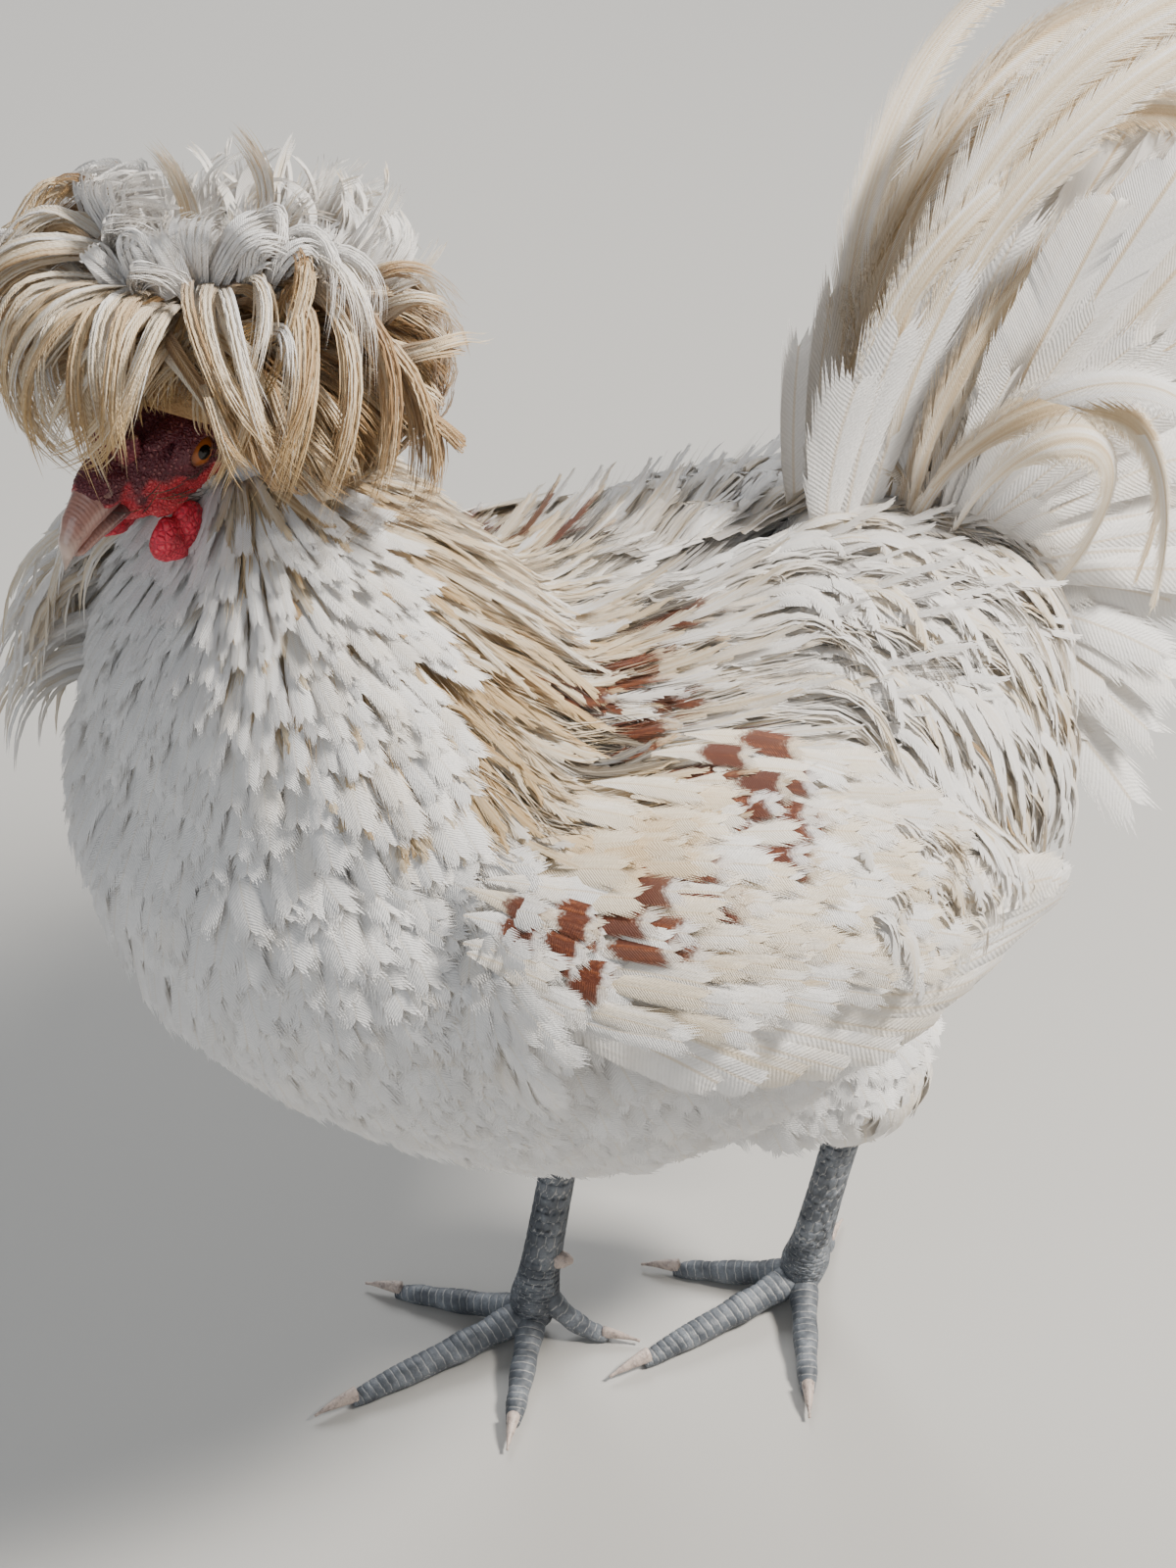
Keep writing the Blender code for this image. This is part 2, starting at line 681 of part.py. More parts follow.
def crest_shape(name, home, grow=0.0, share=1.0):
    size = CREST_SIZE * share + Vector((grow, grow, grow))
    crest = ellipsoid(name, CREST_PLACE, size, home, 16, 9)
    slope = Vector((CREST_SLOPE, 0, 1)).normalized()
    crest.data.transform(head_matrix().inverted())
    cut_off(crest, CREST_BROW - slope * grow, -slope)
    crest.data.transform(head_matrix())
    return crest


def eye_ball(name, side, home, grow=0.0):
    size = Vector((1, 1, 1)) * (EYE_RADIUS + grow)
    ball = ellipsoid(name, mirrored(EYE_PLACE, side), size, home, EYE_SEGMENTS, EYE_RINGS)
    ball.data.transform(head_matrix())
    return ball


def make_head(home, finish):
    """The skull with its lids, cut clear of the neck and hollowed for the eyes."""
    head = skull_shape("head", home)
    lids = []
    sockets = []
    for side in (-1, 1):
        centre = mirrored(EYE_PLACE, side)
        bpy.ops.mesh.primitive_torus_add(
            major_radius=LID_RADIUS, minor_radius=LID_THICKNESS, major_segments=12, minor_segments=4
        )
        lid = bpy.context.object
        tilt = Matrix.Rotation(math.radians(90 - LID_TILT * side), 4, "X")
        lid.data.transform(Matrix.Translation(centre + Vector((0, LID_OUT * side, 0))) @ tilt)
        lid.data.transform(head_matrix())
        lids.append(lid)
        socket = eye_ball("socket", side, home, GAP)
        sockets.append(socket)
    apply_boolean(head, lids, "UNION")
    apply_boolean(head, sockets, "DIFFERENCE")
    finish_node(head, finish["red_skin"])
    return head


def make_eyes(home, finish):
    for side, name in ((-1, "eye_left"), (1, "eye_right")):
        finish_node(eye_ball(name, side, home), finish["eye_orange"])


def upper_bill(name, home, grow=0.0):
    bill = body_loft(name, UPPER_BILL, UPPER_BILL_ROOT, UPPER_BILL_TIP, BILL_SIDES, home, grow)
    bill.data.transform(head_matrix())
    return bill


def lower_bill(name, home, grow=0.0):
    bill = body_loft(name, LOWER_BILL, LOWER_BILL_ROOT, LOWER_BILL_TIP, BILL_SIDES, home, grow)
    bill.data.transform(head_matrix())
    return bill


def bare_head_cutters(home):
    """Skull and bill, grown by the gap."""
    shapes = (skull_shape, upper_bill, lower_bill)
    return [shape("cutter", home, GAP) for shape in shapes]


def make_bill(home, finish):
    """The horny sheath, above and below the line of the mouth, with its wide nostrils."""
    upper = upper_bill("bill_upper", home)
    lower = lower_bill("bill_lower", home)
    nostrils = []
    for side in (-1, 1):
        nostril = ellipsoid("nostril", mirrored(NOSTRIL_PLACE, side), NOSTRIL_SIZE, home, 10, 6)
        nostril.data.transform(head_matrix())
        nostrils.append(nostril)
    apply_boolean(upper, nostrils, "DIFFERENCE")
    for bill in (upper, lower):
        apply_boolean(bill, [skull_shape("cutter", home, GAP)], "DIFFERENCE")
    apply_boolean(lower, [upper_bill("cutter", home, GAP)], "DIFFERENCE")
    finish_node(upper, finish["bill_horn"])
    finish_node(lower, finish["bill_horn"])


def make_comb(home, finish):
    """Two small horns in a V at the root of the bill."""
    horns = []
    for side in (-1, 1):
        lean = Vector((COMB_LEAN, math.sin(COMB_SPREAD) * side, math.cos(COMB_SPREAD))).normalized()
        root = COMB_PLACE + Vector((0, COMB_APART * side, -COMB_SUNK))
        spine = [root + lean * COMB_LENGTH * share for share, _ in COMB_HORN]
        radii = [size for _, size in COMB_HORN]
        horns.append(swept("comb", spine, radii, 8, home, side_way=Vector((1, 0, 0))))
    comb = apply_boolean(horns[0], [horns[1]], "UNION")
    comb.data.transform(head_matrix())
    cutters = bare_head_cutters(home) + [crest_shape("cutter", home, GAP, CREST_CORE)]
    apply_boolean(comb, cutters, "DIFFERENCE")
    finish_node(comb, finish["red_skin"])


def make_wattles(home, finish):
    """A small rounded wattle under each corner of the mouth, creased down its middle."""
    for side, name in ((-1, "wattle_left"), (1, "wattle_right")):
        wattle = ellipsoid(name, Vector((0, 0, 0)), WATTLE_SIZE, home, 12, 8)
        for vert in wattle.data.vertices:
            crease = math.exp(-((vert.co.x / WATTLE_CREASE_WIDTH) ** 2))
            lower = max(0.0, -vert.co.z / WATTLE_SIZE.z)
            vert.co.z += WATTLE_CREASE * crease * lower
            vert.co.y *= 1 - WATTLE_PINCH * crease
        wattle.data.transform(Matrix.Translation(mirrored(WATTLE_PLACE, side)))
        wattle.data.transform(head_matrix())
        cutters = bare_head_cutters(home) + [neck_shape("cutter", home, GAP)]
        apply_boolean(wattle, cutters, "DIFFERENCE")
        finish_node(wattle, finish["red_skin"])


def make_crest(home, finish):
    """Pointed locks that arch out from the crown and fall all round, over a low core."""
    outline = ellipsoid("guide", CREST_PLACE, CREST_SIZE, home, 48, 28)
    tree = tree_of(outline)
    bpy.data.objects.remove(outline, do_unlink=True)
    chance = random.Random(11)
    core = crest_shape("crest", home, share=CREST_CORE)
    locks = []
    ahead = head_matrix().to_3x3() @ Vector((-1, 0, 0))
    sink = CREST_SIZE.x * (1 - CREST_CORE) * LOCK_ROOT_SHARE + ROOT_DEPTH
    for tier, (slant, number, length, lift) in enumerate(LOCK_TIERS):
        for index in range(number):
            turn = 2 * math.pi * (index + 0.5 * (tier % 2) + chance.uniform(-0.2, 0.2)) / number
            tilt = math.radians(slant + chance.uniform(-5, 5))
            radial = Vector((math.cos(turn), math.sin(turn), 0))
            slant_way = radial * math.sin(tilt) + Vector((0, 0, math.cos(tilt)))
            start = CREST_PLACE + slant_way * CREST_SIZE.x
            facing = max(0.0, radial.dot(ahead)) ** 2 * (tier == len(LOCK_TIERS) - 1)
            reach = length * (1 - FACE_TRIM * facing) * chance.uniform(0.88, 1.12)
            swirl = radial.cross(Vector((0, 0, chance.uniform(-LOCK_SWIRL, LOCK_SWIRL))))
            lie = laid(tree, start, radial - Vector((0, 0, LOCK_FALL)) + swirl, reach, lift, sink, roll=ROLL)
            width = LOCK_WIDTH * chance.uniform(0.85, 1.15)
            locks.append(planted("crest", home, "lock", *lie, width, MEDIUM, DEEP_CUP))
    for root, tip in WISPS:
        spine = curved((root - (tip - root) * 0.7, root, root.lerp(tip, 0.6) + WISP_BEND, tip))
        normals = [WISP_FACING.normalized()] * len(spine)
        locks.append(planted("crest", home, "wisp", spine, normals, WISP_WIDTH, MEDIUM))
    apply_boolean(core, locks, "UNION", JOINER)
    cutters = [skull_shape("cutter", home, GAP), neck_shape("cutter", home, GAP)]
    apply_boolean(core, cutters, "DIFFERENCE")
    finish_node(core, finish["buff_plumage"])


def drape_tree(home):
    """Trunk, neck and wings as one smooth skin, for long feathers to lie along."""
    pieces = [torso_shape("guide", home), neck_shape("guide", home)]
    pieces += [wing_shape("guide", side, home, WING_DRAPE) for side in (-1, 1)]
    shape = bmesh.new()
    for piece in pieces:
        shape.from_mesh(piece.data)
        bpy.data.objects.remove(piece, do_unlink=True)
    mesh = bpy.data.meshes.new("drape")
    shape.to_mesh(mesh)
    shape.free()
    drape = new_object("drape", mesh, home)
    remesh = drape.modifiers.new("remesh", "REMESH")
    remesh.mode = "VOXEL"
    remesh.voxel_size = DRAPE_VOXEL
    smooth = drape.modifiers.new("smooth", "SMOOTH")
    smooth.iterations = DRAPE_SMOOTHING
    graph = bpy.context.evaluated_depsgraph_get()
    tree = BVHTree.FromObject(drape, graph)
    bpy.data.objects.remove(drape, do_unlink=True)
    return tree


def neck_spot(share, around, side):
    """A point of the cape's outline: share of the way up, around from 0 at the throat to 180 at the nape."""
    place = share * (len(NECK) - 1)
    index = min(int(place), len(NECK) - 2)
    (low, low_width, low_depth), (high, high_width, high_depth) = NECK[index], NECK[index + 1]
    part = place - index
    width = low_width + (high_width - low_width) * part
    depth = low_depth + (high_depth - low_depth) * part
    along = (high - low).normalized()
    ahead = Vector((0, 1, 0)).cross(along) * -1
    turn = math.radians(around)
    out = Vector((0, side * width * math.sin(turn), 0))
    return low.lerp(high, part) + ahead * depth * math.cos(turn) + out


def make_neck(home, finish, drape):
    """The hackles hang in rings from the neck down over the shoulders and breast."""
    chance = random.Random(5)
    neck = neck_shape("neck", home, -NECK_COAT)
    hackles = []
    for share, first, last, number, length, width, lift in HACKLE_ROWS:
        for side in (-1, 1):
            for index in range(number):
                around = first + (last - first) * (index + chance.uniform(-0.2, 0.2)) / (number - 1)
                start = neck_spot(share, around, side)
                nape = smooth_step(around, *NAPE_FROM_TO)
                reach = length * chance.uniform(0.88, 1.12) * (1 - NAPE_TRIM * nape)
                sink = NECK_COAT + ROOT_DEPTH
                lie = laid(drape, start, HACKLE_FLOW, reach, lift, sink, roll=ROLL * side)
                hackles.append(planted("neck", home, "hackle", *lie, width, FINE, SLIGHT_CUP))
    apply_boolean(neck, hackles, "UNION", JOINER)
    cutters = [torso_shape("cutter", home, GAP - TORSO_COAT), skull_shape("cutter", home, GAP)]
    apply_boolean(neck, cutters, "DIFFERENCE")
    finish_node(neck, finish["buff_plumage"])


def make_torso(home, finish, drape):
    """Loose rounded feathers on the breast, long narrow ones over the saddle, fluff hanging below."""
    outline = torso_shape("guide", home)
    tree = tree_of(outline)
    bpy.data.objects.remove(outline, do_unlink=True)
    chance = random.Random(7)
    torso = torso_shape("torso", home, -TORSO_COAT)
    feathers = []
    for rows, ground in ((BREAST_ROWS, tree), (SADDLE_ROWS, drape)):
        for place, first, last, number, length, width, lift, flow in rows:
            shape = LONG_VANE if length > LONG_FEATHER else SHORT_VANE
            for side in (-1, 1):
                for index in range(number):
                    around = first + (last - first) * (index + chance.uniform(-0.15, 0.15)) / (number - 1)
                    start = torso_spot(place + chance.uniform(-0.004, 0.004), around, side)
                    reach = length * chance.uniform(0.90, 1.10)
                    lie = laid(ground, start, flow, reach, lift, TORSO_COAT + ROOT_DEPTH, shape, ROLL * side)
                    feathers.append(planted("torso", home, "feather", *lie, width, MEDIUM, SLIGHT_CUP, shape))
    apply_boolean(torso, feathers, "UNION", JOINER)
    cutters = clearances("neck", home) + [neck_shape("cutter", home, GAP - NECK_COAT)]
    cutters += [thigh_shape(side_name, "cutter", home, GAP) for side_name in LEGS]
    core = torso_shape("core", home, CORE_OVER - TORSO_COAT)
    apply_boolean(torso, cutters, "DIFFERENCE", JOINER)
    apply_boolean(torso, [core], "UNION", JOINER)
    finish_node(torso, finish["white_plumage"])


def torso_half_width(x, z):
    """How far the flank stands from the middle of the body at a place and height."""
    for near, far in zip(TORSO, TORSO[1:]):
        if near[0] <= x <= far[0]:
            share = (x - near[0]) / (far[0] - near[0])
            mid, width, up, down = (near[i] + (far[i] - near[i]) * share for i in range(1, 5))
            reach = up if z >= mid else down
            return width * math.sqrt(max(0.0, 1 - ((z - mid) / reach) ** 2))
    return 0.0


def flank_spot(x, z, side, stand_off):
    """A point beside the trunk, at a place along it and a height, standing off it by a distance."""
    return Vector((x, side * (torso_half_width(x, z) + stand_off), z))


def wing_shape(name, side, home, grow=0.0):
    """The folded wing as a plate along the flank."""
    rings = []
    for x, z, half, thick in WING:
        ring = []
        for step in range(WING_SIDES):
            angle = 2 * math.pi * step / WING_SIDES
            height = z + (half + grow) * math.sin(angle)
            ring.append(flank_spot(x, height, side, WING_STAND_OFF + (thick + grow) * math.cos(angle)))
        rings.append(ring)
    front = flank_spot(WING_FRONT, WING[0][1], side, WING_STAND_OFF)
    rear = flank_spot(WING_REAR, WING_REAR_HEIGHT, side, WING_STAND_OFF)
    return loft(name, rings, front, rear, home)


def make_wings(home, finish):
    """Flight feathers laid one over another along the flank, with two rows of coverts over their roots."""
    for side, name in ((-1, "wing_left"), (1, "wing_right")):
        wing = wing_shape(name, side, home, -WING_COAT)
        chance = random.Random(3)
        feathers = []
        for index, (root, tip) in enumerate(FLIGHTS):
            spine = []
            for step in range(len(BROAD_VANE) + 1):
                share = step / len(BROAD_VANE)
                x = root[0] + (tip[0] - root[0]) * share
                z = root[1] + (tip[1] - root[1]) * share + FLIGHT_ARCH * math.sin(math.pi * share)
                spine.append(flank_spot(x, z, side, WING_STAND_OFF + LAYER * index))
            normals = [mirrored(FLIGHT_FACING, side).normalized()] * len(spine)
            blade = (spine, normals, FLIGHT_WIDTH, MEDIUM, SLIGHT_CUP, BROAD_VANE)
            feathers.append(planted(name, home, "flight", *blade))
        for share, places, length, width in COVERTS:
            for place in places:
                _, mid, half, thick = between(WING, place)
                spine = []
                for step in range(len(SHORT_VANE) + 1):
                    part = step / len(SHORT_VANE)
                    rise = (COVERT_RISE - COVERT_RISE_LOSS * abs(share)) * part
                    x = place + length * part * COVERT_REACH
                    z = mid + half * share - length * part * COVERT_SLOPE
                    z += chance.uniform(-COVERT_SPREAD, COVERT_SPREAD)
                    spine.append(flank_spot(x, z, side, WING_STAND_OFF + thick * COVERT_SEAT + rise))
                normals = [mirrored(COVERT_FACING, side).normalized()] * len(spine)
                blade = (spine, normals, width, STOUT, DEEP_CUP, SHORT_VANE)
                feathers.append(planted(name, home, "covert", *blade))
        apply_boolean(wing, feathers, "UNION", JOINER)
        cutters = [torso_shape("cutter", home, GAP - TORSO_COAT), neck_shape("cutter", home, GAP - NECK_COAT)]
        cutters += clearances("neck", home) + clearances("torso", home)
        apply_boolean(wing, cutters, "DIFFERENCE", JOINER)
        finish_node(wing, finish["white_plumage"])


def make_tail(home, finish):
    """A fan of broad feathers in two leaning sheets, with sickles arching over it on each side."""
    tail = ellipsoid("tail", MOUND_PLACE, MOUND_SIZE, home, 12, 8)
    feathers = []
    for side in (-1, 1):
        for index, (rise, length, lean) in enumerate(FAN):
            turn = math.radians(rise)
            way = Vector((math.cos(turn), 0, math.sin(turn)))
            root = MOUND_PLACE + way * FAN_ROOT + Vector((0, side * (FAN_ROOT_APART + LAYER * index), 0))
            out = Vector((0, side * lean, 0))
            arch = Vector((0, 0, length * FAN_ARCH))
            near = root + way * length * 0.35 + out * 0.6 + arch
            far = root + way * length * 0.7 + out + arch
            spine = curved((root, near, far, root + way * length + out * 1.3))
            normals = [mirrored(FAN_FACING, side).normalized()] * len(spine)
            width = FAN_WIDTH * (FAN_LEAST_WIDTH + (1 - FAN_LEAST_WIDTH) * length / LONGEST_FAN)
            blade = (spine, normals, width, FINE, SLIGHT_CUP, BROAD_VANE)
            feathers.append(planted("tail", home, "fan", *blade))
        for guides in SICKLES:
            spine = curved([mirrored(point, side) for point in guides])
            normals = [mirrored(SICKLE_FACING, side).normalized()] * len(spine)
            blade = (spine, normals, SICKLE_WIDTH, MEDIUM, DEEP_CUP)
            feathers.append(planted("tail", home, "sickle", *blade))
    apply_boolean(tail, feathers, "UNION", JOINER)
    cutters = [torso_shape("cutter", home, GAP - TORSO_COAT)] + clearances("torso", home)
    apply_boolean(tail, cutters, "DIFFERENCE", JOINER)
    finish_node(tail, finish["white_plumage"])


def thigh_shape(side_name, name, home, grow=0.0):
    hock, knee = LEGS[side_name]["hock"], KNEE[side_name]
    spine = [hock + (knee - hock) * share for share, _ in THIGH]
    radii = [size for _, size in THIGH]
    return swept(name, spine, radii, THIGH_SIDES, home, grow)


def make_thighs(home, finish):
    """Each thigh is mostly sunk in the belly's fluff, with feathers of its own about its lower end."""
    for side_name in LEGS:
        outline = thigh_shape(side_name, "guide", home)
        tree = tree_of(outline)
        bpy.data.objects.remove(outline, do_unlink=True)
        thigh = thigh_shape(side_name, f"thigh_{side_name}", home, -THIGH_COAT)
        hock, knee = LEGS[side_name]["hock"], KNEE[side_name]
        feathers = []
        for index in range(THIGH_FEATHERS):
            turn = 2 * math.pi * (index + 0.5) / THIGH_FEATHERS
            start = hock.lerp(knee, TUFT_START) + Vector((math.cos(turn), math.sin(turn), 0)) * 0.03
            sink = THIGH_COAT + ROOT_DEPTH
            lie = laid(tree, start, hock - knee, TUFT_LENGTH, TUFT_LIFT, sink, SHORT_VANE)
            feathers.append(vane("tuft", *lie, TUFT_WIDTH, STOUT, home, DEEP_CUP, SHORT_VANE))
        apply_boolean(thigh, feathers, "UNION", JOINER)
        cutters = [torso_shape("cutter", home, GAP - TORSO_COAT)]
        if side_name == "right":
            cutters.append(thigh_shape("left", "cutter", home, GAP))
        apply_boolean(thigh, cutters, "DIFFERENCE", JOINER)
        finish_node(thigh, finish["white_plumage"])


def shank_spine(leg):
    foot = leg["foot"] + Vector((0, 0, ANKLE_HEIGHT))
    return [foot + (leg["hock"] - foot) * share for share, _ in SHANK]


def shank_shape(leg, name, home, grow=0.0):
    radii = [size for _, size in SHANK]
    return swept(name, shank_spine(leg), radii, SHANK_SIDES, home, grow)


def make_shanks(home, finish):
    for side_name, leg in LEGS.items():
        shank = shank_shape(leg, f"shank_{side_name}", home)
        apply_boolean(shank, [thigh_shape(side_name, "cutter", home, GAP)], "DIFFERENCE")
        cut_off(shank, FLOOR, DOWN)
        finish_node(shank, finish["slate_scales"])


def toe_frame(leg, toe):
    """Root, way along the floor, and end of a fleshy toe."""
    heading, length, radius, root_height, _ = toe
    turn = math.radians(heading) * leg["side"]
    way = Vector((-math.cos(turn), -math.sin(turn), 0))
    root = leg["foot"] + Vector((0, 0, root_height)) + way * TOE_START
    return root, way, length, radius


def toe_shape(leg, toe, name, home, grow=0.0):
    root, way, length, radius = toe_frame(leg, toe)
    spine, radii = [], []
    for share in TOE_STATIONS:
        thick = radius * (1 - TOE_TAPER * share)
        lie = thick - FLAT_DEPTH
        fall = (1 - share) ** TOE_FALL
        height = lie + (root.z - lie) * fall
        spine.append(Vector((root.x, root.y, 0)) + way * length * share + Vector((0, 0, height)))
        radii.append((thick, thick * TOE_DEPTH_SHARE))
    side_way = Vector((0, 0, 1)).cross(way)
    return swept(name, spine, radii, TOE_SIDES, home, grow, side_way)


def make_toes(home, finish):
    """The toes lie along the floor, flat beneath, and each carries a curved claw."""
    for side_name, leg in LEGS.items():
        done = []
        for toe_name, toe in TOES[side_name].items():
            node = toe_shape(leg, toe, f"toe_{side_name}_{toe_name}", home)
            cutters = [shank_shape(leg, "cutter", home, GAP)]
            cutters += [toe_shape(leg, other, "cutter", home, GAP) for other in done]
            apply_boolean(node, cutters, "DIFFERENCE")
            cut_off(node, FLOOR, DOWN)
            finish_node(node, finish["slate_scales"])
            make_claw(side_name, leg, toe_name, toe, home, finish)
            done.append(toe)


def make_claw(side_name, leg, toe_name, toe, home, finish):
    root, way, length, radius = toe_frame(leg, toe)
    claw_length = toe[4]
    thick = radius * CLAW_THICKNESS
    start = Vector((root.x, root.y, 0)) + way * (length + CLAW_OUT) + Vector((0, 0, thick + CLAW_UP))
    spine, radii = [], []
    for share in CLAW_STATIONS:
        drop = thick * CLAW_DROP * share**CLAW_CURVE
        spine.append(start + way * claw_length * share - Vector((0, 0, drop)))
        size = max(thick * 0.86 * (1 - share) ** 0.75, CLAW_POINT)
        radii.append((size * 0.82, size))
    side_way = Vector((0, 0, 1)).cross(way)
    claw = swept(f"claw_{side_name}_{toe_name}", spine, radii, 6, home, side_way=side_way)
    apply_boolean(claw, [toe_shape(leg, toe, "cutter", home, GAP)], "DIFFERENCE")
    cut_off(claw, FLOOR, DOWN)
    finish_node(claw, finish["claw_horn"])


def make_spurs(home, finish):
    """A young cock's spur: a blunt knob on the back of the inner side of the shank."""
    for side_name, leg in LEGS.items():
        foot = leg["foot"] + Vector((0, 0, ANKLE_HEIGHT))
        share = (SPUR_HEIGHT - ANKLE_HEIGHT) / (leg["hock"].z - ANKLE_HEIGHT)
        seat = foot + (leg["hock"] - foot) * share
        way = mirrored(SPUR_WAY, leg["side"]).normalized()
        spine = [seat + way * reach for reach, _ in SPUR]
        radii = [(radius, radius) for _, radius in SPUR]
        spur = swept(f"spur_{side_name}", spine, radii, 8, home, side_way=Vector((0, 0, 1)))
        apply_boolean(spur, [shank_shape(leg, "cutter", home, GAP)], "DIFFERENCE")
        finish_node(spur, finish["claw_horn"])


def recentre(home):
    """Moves every piece so that the origin is the centre of the base of the whole bird's box."""
    points = [vert.co for thing in home.objects for vert in thing.data.vertices]
    low = Vector(min(point[axis] for point in points) for axis in range(3))
    high = Vector(max(point[axis] for point in points) for axis in range(3))
    shift = Matrix.Translation((-(low.x + high.x) / 2, -(low.y + high.y) / 2, -low.z))
    for thing in home.objects:
        thing.data.transform(shift)


def main():
    clear_scene()
    home = bpy.data.collections.new("polish_cockerel")
    bpy.context.scene.collection.children.link(home)
    finish = make_materials()
    drape = drape_tree(home)
    make_neck(home, finish, drape)
    make_torso(home, finish, drape)
    make_head(home, finish)
    make_eyes(home, finish)
    make_bill(home, finish)
    make_comb(home, finish)
    make_wattles(home, finish)
    make_crest(home, finish)
    make_wings(home, finish)
    make_tail(home, finish)
    make_thighs(home, finish)
    make_shanks(home, finish)
    make_toes(home, finish)
    make_spurs(home, finish)
    recentre(home)


main()
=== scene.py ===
"""A life-size standing Polish cockerel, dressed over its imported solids.

The bird faces -X with its left side towards -Y. Its pieces are drawn round a design origin on the floor
under the middle of the back, and each is moved to the frame's own origin when it is finished.
"""

import math
import random
from math import cos, pi, radians, sin

import bmesh
import bpy
import numpy as np
from mathutils import Matrix, Vector, noise
from mathutils.bvhtree import BVHTree


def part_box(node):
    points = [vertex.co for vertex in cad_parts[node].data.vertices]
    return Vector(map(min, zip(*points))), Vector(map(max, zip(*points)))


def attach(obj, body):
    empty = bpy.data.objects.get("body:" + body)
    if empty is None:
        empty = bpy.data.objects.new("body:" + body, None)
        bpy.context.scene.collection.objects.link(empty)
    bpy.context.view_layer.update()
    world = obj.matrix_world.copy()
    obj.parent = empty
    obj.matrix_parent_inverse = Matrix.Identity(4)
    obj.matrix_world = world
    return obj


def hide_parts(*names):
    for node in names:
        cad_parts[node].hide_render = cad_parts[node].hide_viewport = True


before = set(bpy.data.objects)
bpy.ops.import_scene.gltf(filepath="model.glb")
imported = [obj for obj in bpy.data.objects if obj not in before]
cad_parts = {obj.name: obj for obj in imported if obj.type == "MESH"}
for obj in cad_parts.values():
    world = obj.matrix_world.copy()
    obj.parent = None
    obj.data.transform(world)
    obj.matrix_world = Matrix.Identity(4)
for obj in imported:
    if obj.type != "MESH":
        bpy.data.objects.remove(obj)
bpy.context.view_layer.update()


def xyz(x, y, z):
    return Vector((x, y, z))


# Where the drawing's origin lies in the frame: the left eye is at a known place in both.
HEAD_PLACE = xyz(-0.1375, -0.0021, 0.3855)
HEAD_TURN = radians(22)
HEAD_NOD = radians(14)
EYE_PLACE = xyz(-0.001, 0.0108, 0.003)
HEAD = (
    Matrix.Translation(HEAD_PLACE)
    @ Matrix.Rotation(HEAD_TURN, 4, "Z")
    @ Matrix.Rotation(-HEAD_NOD, 4, "Y")
)
eye_low, eye_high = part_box("eye_left")
TO_FRAME = (eye_low + eye_high) / 2 - HEAD @ xyz(EYE_PLACE.x, -EYE_PLACE.y, EYE_PLACE.z)


# The camera stands where the photograph was taken: to the bird's left and front, and well above it.
AIM = xyz(0.01, 0.04, 0.2)
CAMERA_DISTANCE = 0.91
CAMERA_HEADING = radians(32)
CAMERA_PITCH = radians(36)
FOCAL_LENGTH_MM = 67.5
SENSOR_MM = 36.0



def added(name, data):
    """A new object in the scene."""
    item = bpy.data.objects.new(name, data)
    bpy.context.scene.collection.objects.link(item)
    return item


level = -cos(CAMERA_PITCH)
away = xyz(sin(CAMERA_HEADING) * level, cos(CAMERA_HEADING) * level, sin(CAMERA_PITCH))
camera_data = bpy.data.cameras.new("camera")
camera_data.lens = FOCAL_LENGTH_MM
camera_data.sensor_width = SENSOR_MM
camera = added("camera", camera_data)
camera.location = AIM + away * CAMERA_DISTANCE + TO_FRAME
camera.rotation_euler = away.to_track_quat("Z", "Y").to_euler()
bpy.context.scene.camera = camera


# A plain pale floor under plain soft light: a large key from the bird's left and rear, as the sun stands
# in the photograph, a wide fill from the other side and an even pale surround.
FLOOR_SIZE = 8.0
FLOOR_GREY = (0.44, 0.43, 0.41, 1.0)
LAMPS = (
    ("key", (1.05, -0.95, 1.75), 0.4, 108.0, (1.0, 0.95, 0.875)),
    ("fill", (-1.7, -0.75, 0.95), 1.6, 11.0, (0.88, 0.94, 1.0)),
    ("rim", (0.7, 1.6, 1.7), 1.00, 38.0, (0.96, 0.98, 1.0)),
)
SURROUND = (0.8, 0.83, 0.88, 1.0)
SURROUND_STRENGTH = 0.27

bpy.ops.object.select_all(action="DESELECT")
bpy.ops.mesh.primitive_plane_add(size=FLOOR_SIZE, location=(0, 0, 0))
floor = bpy.context.object
floor.name = "floor"
floor_finish = bpy.data.materials.new("pale_floor")
floor_finish.use_nodes = True
floor_shader = floor_finish.node_tree.nodes["Principled BSDF"]
floor_shader.inputs["Base Color"].default_value = FLOOR_GREY
floor_shader.inputs["Roughness"].default_value = 0.9
floor.data.materials.append(floor_finish)

for lamp_name, place, size, power, colour in LAMPS:
    lamp_data = bpy.data.lights.new(lamp_name, "AREA")
    lamp_data.size = size
    lamp_data.energy = power
    lamp_data.color = colour
    lamp = added(lamp_name, lamp_data)
    lamp.location = place
    lamp.rotation_euler = (Vector(place) - xyz(0, 0, 0.2)).to_track_quat("Z", "Y").to_euler()

surround = bpy.data.worlds.new("surround")
surround.use_nodes = True
surround.node_tree.nodes["Background"].inputs["Color"].default_value = SURROUND
surround.node_tree.nodes["Background"].inputs["Strength"].default_value = SURROUND_STRENGTH
bpy.context.scene.world = surround


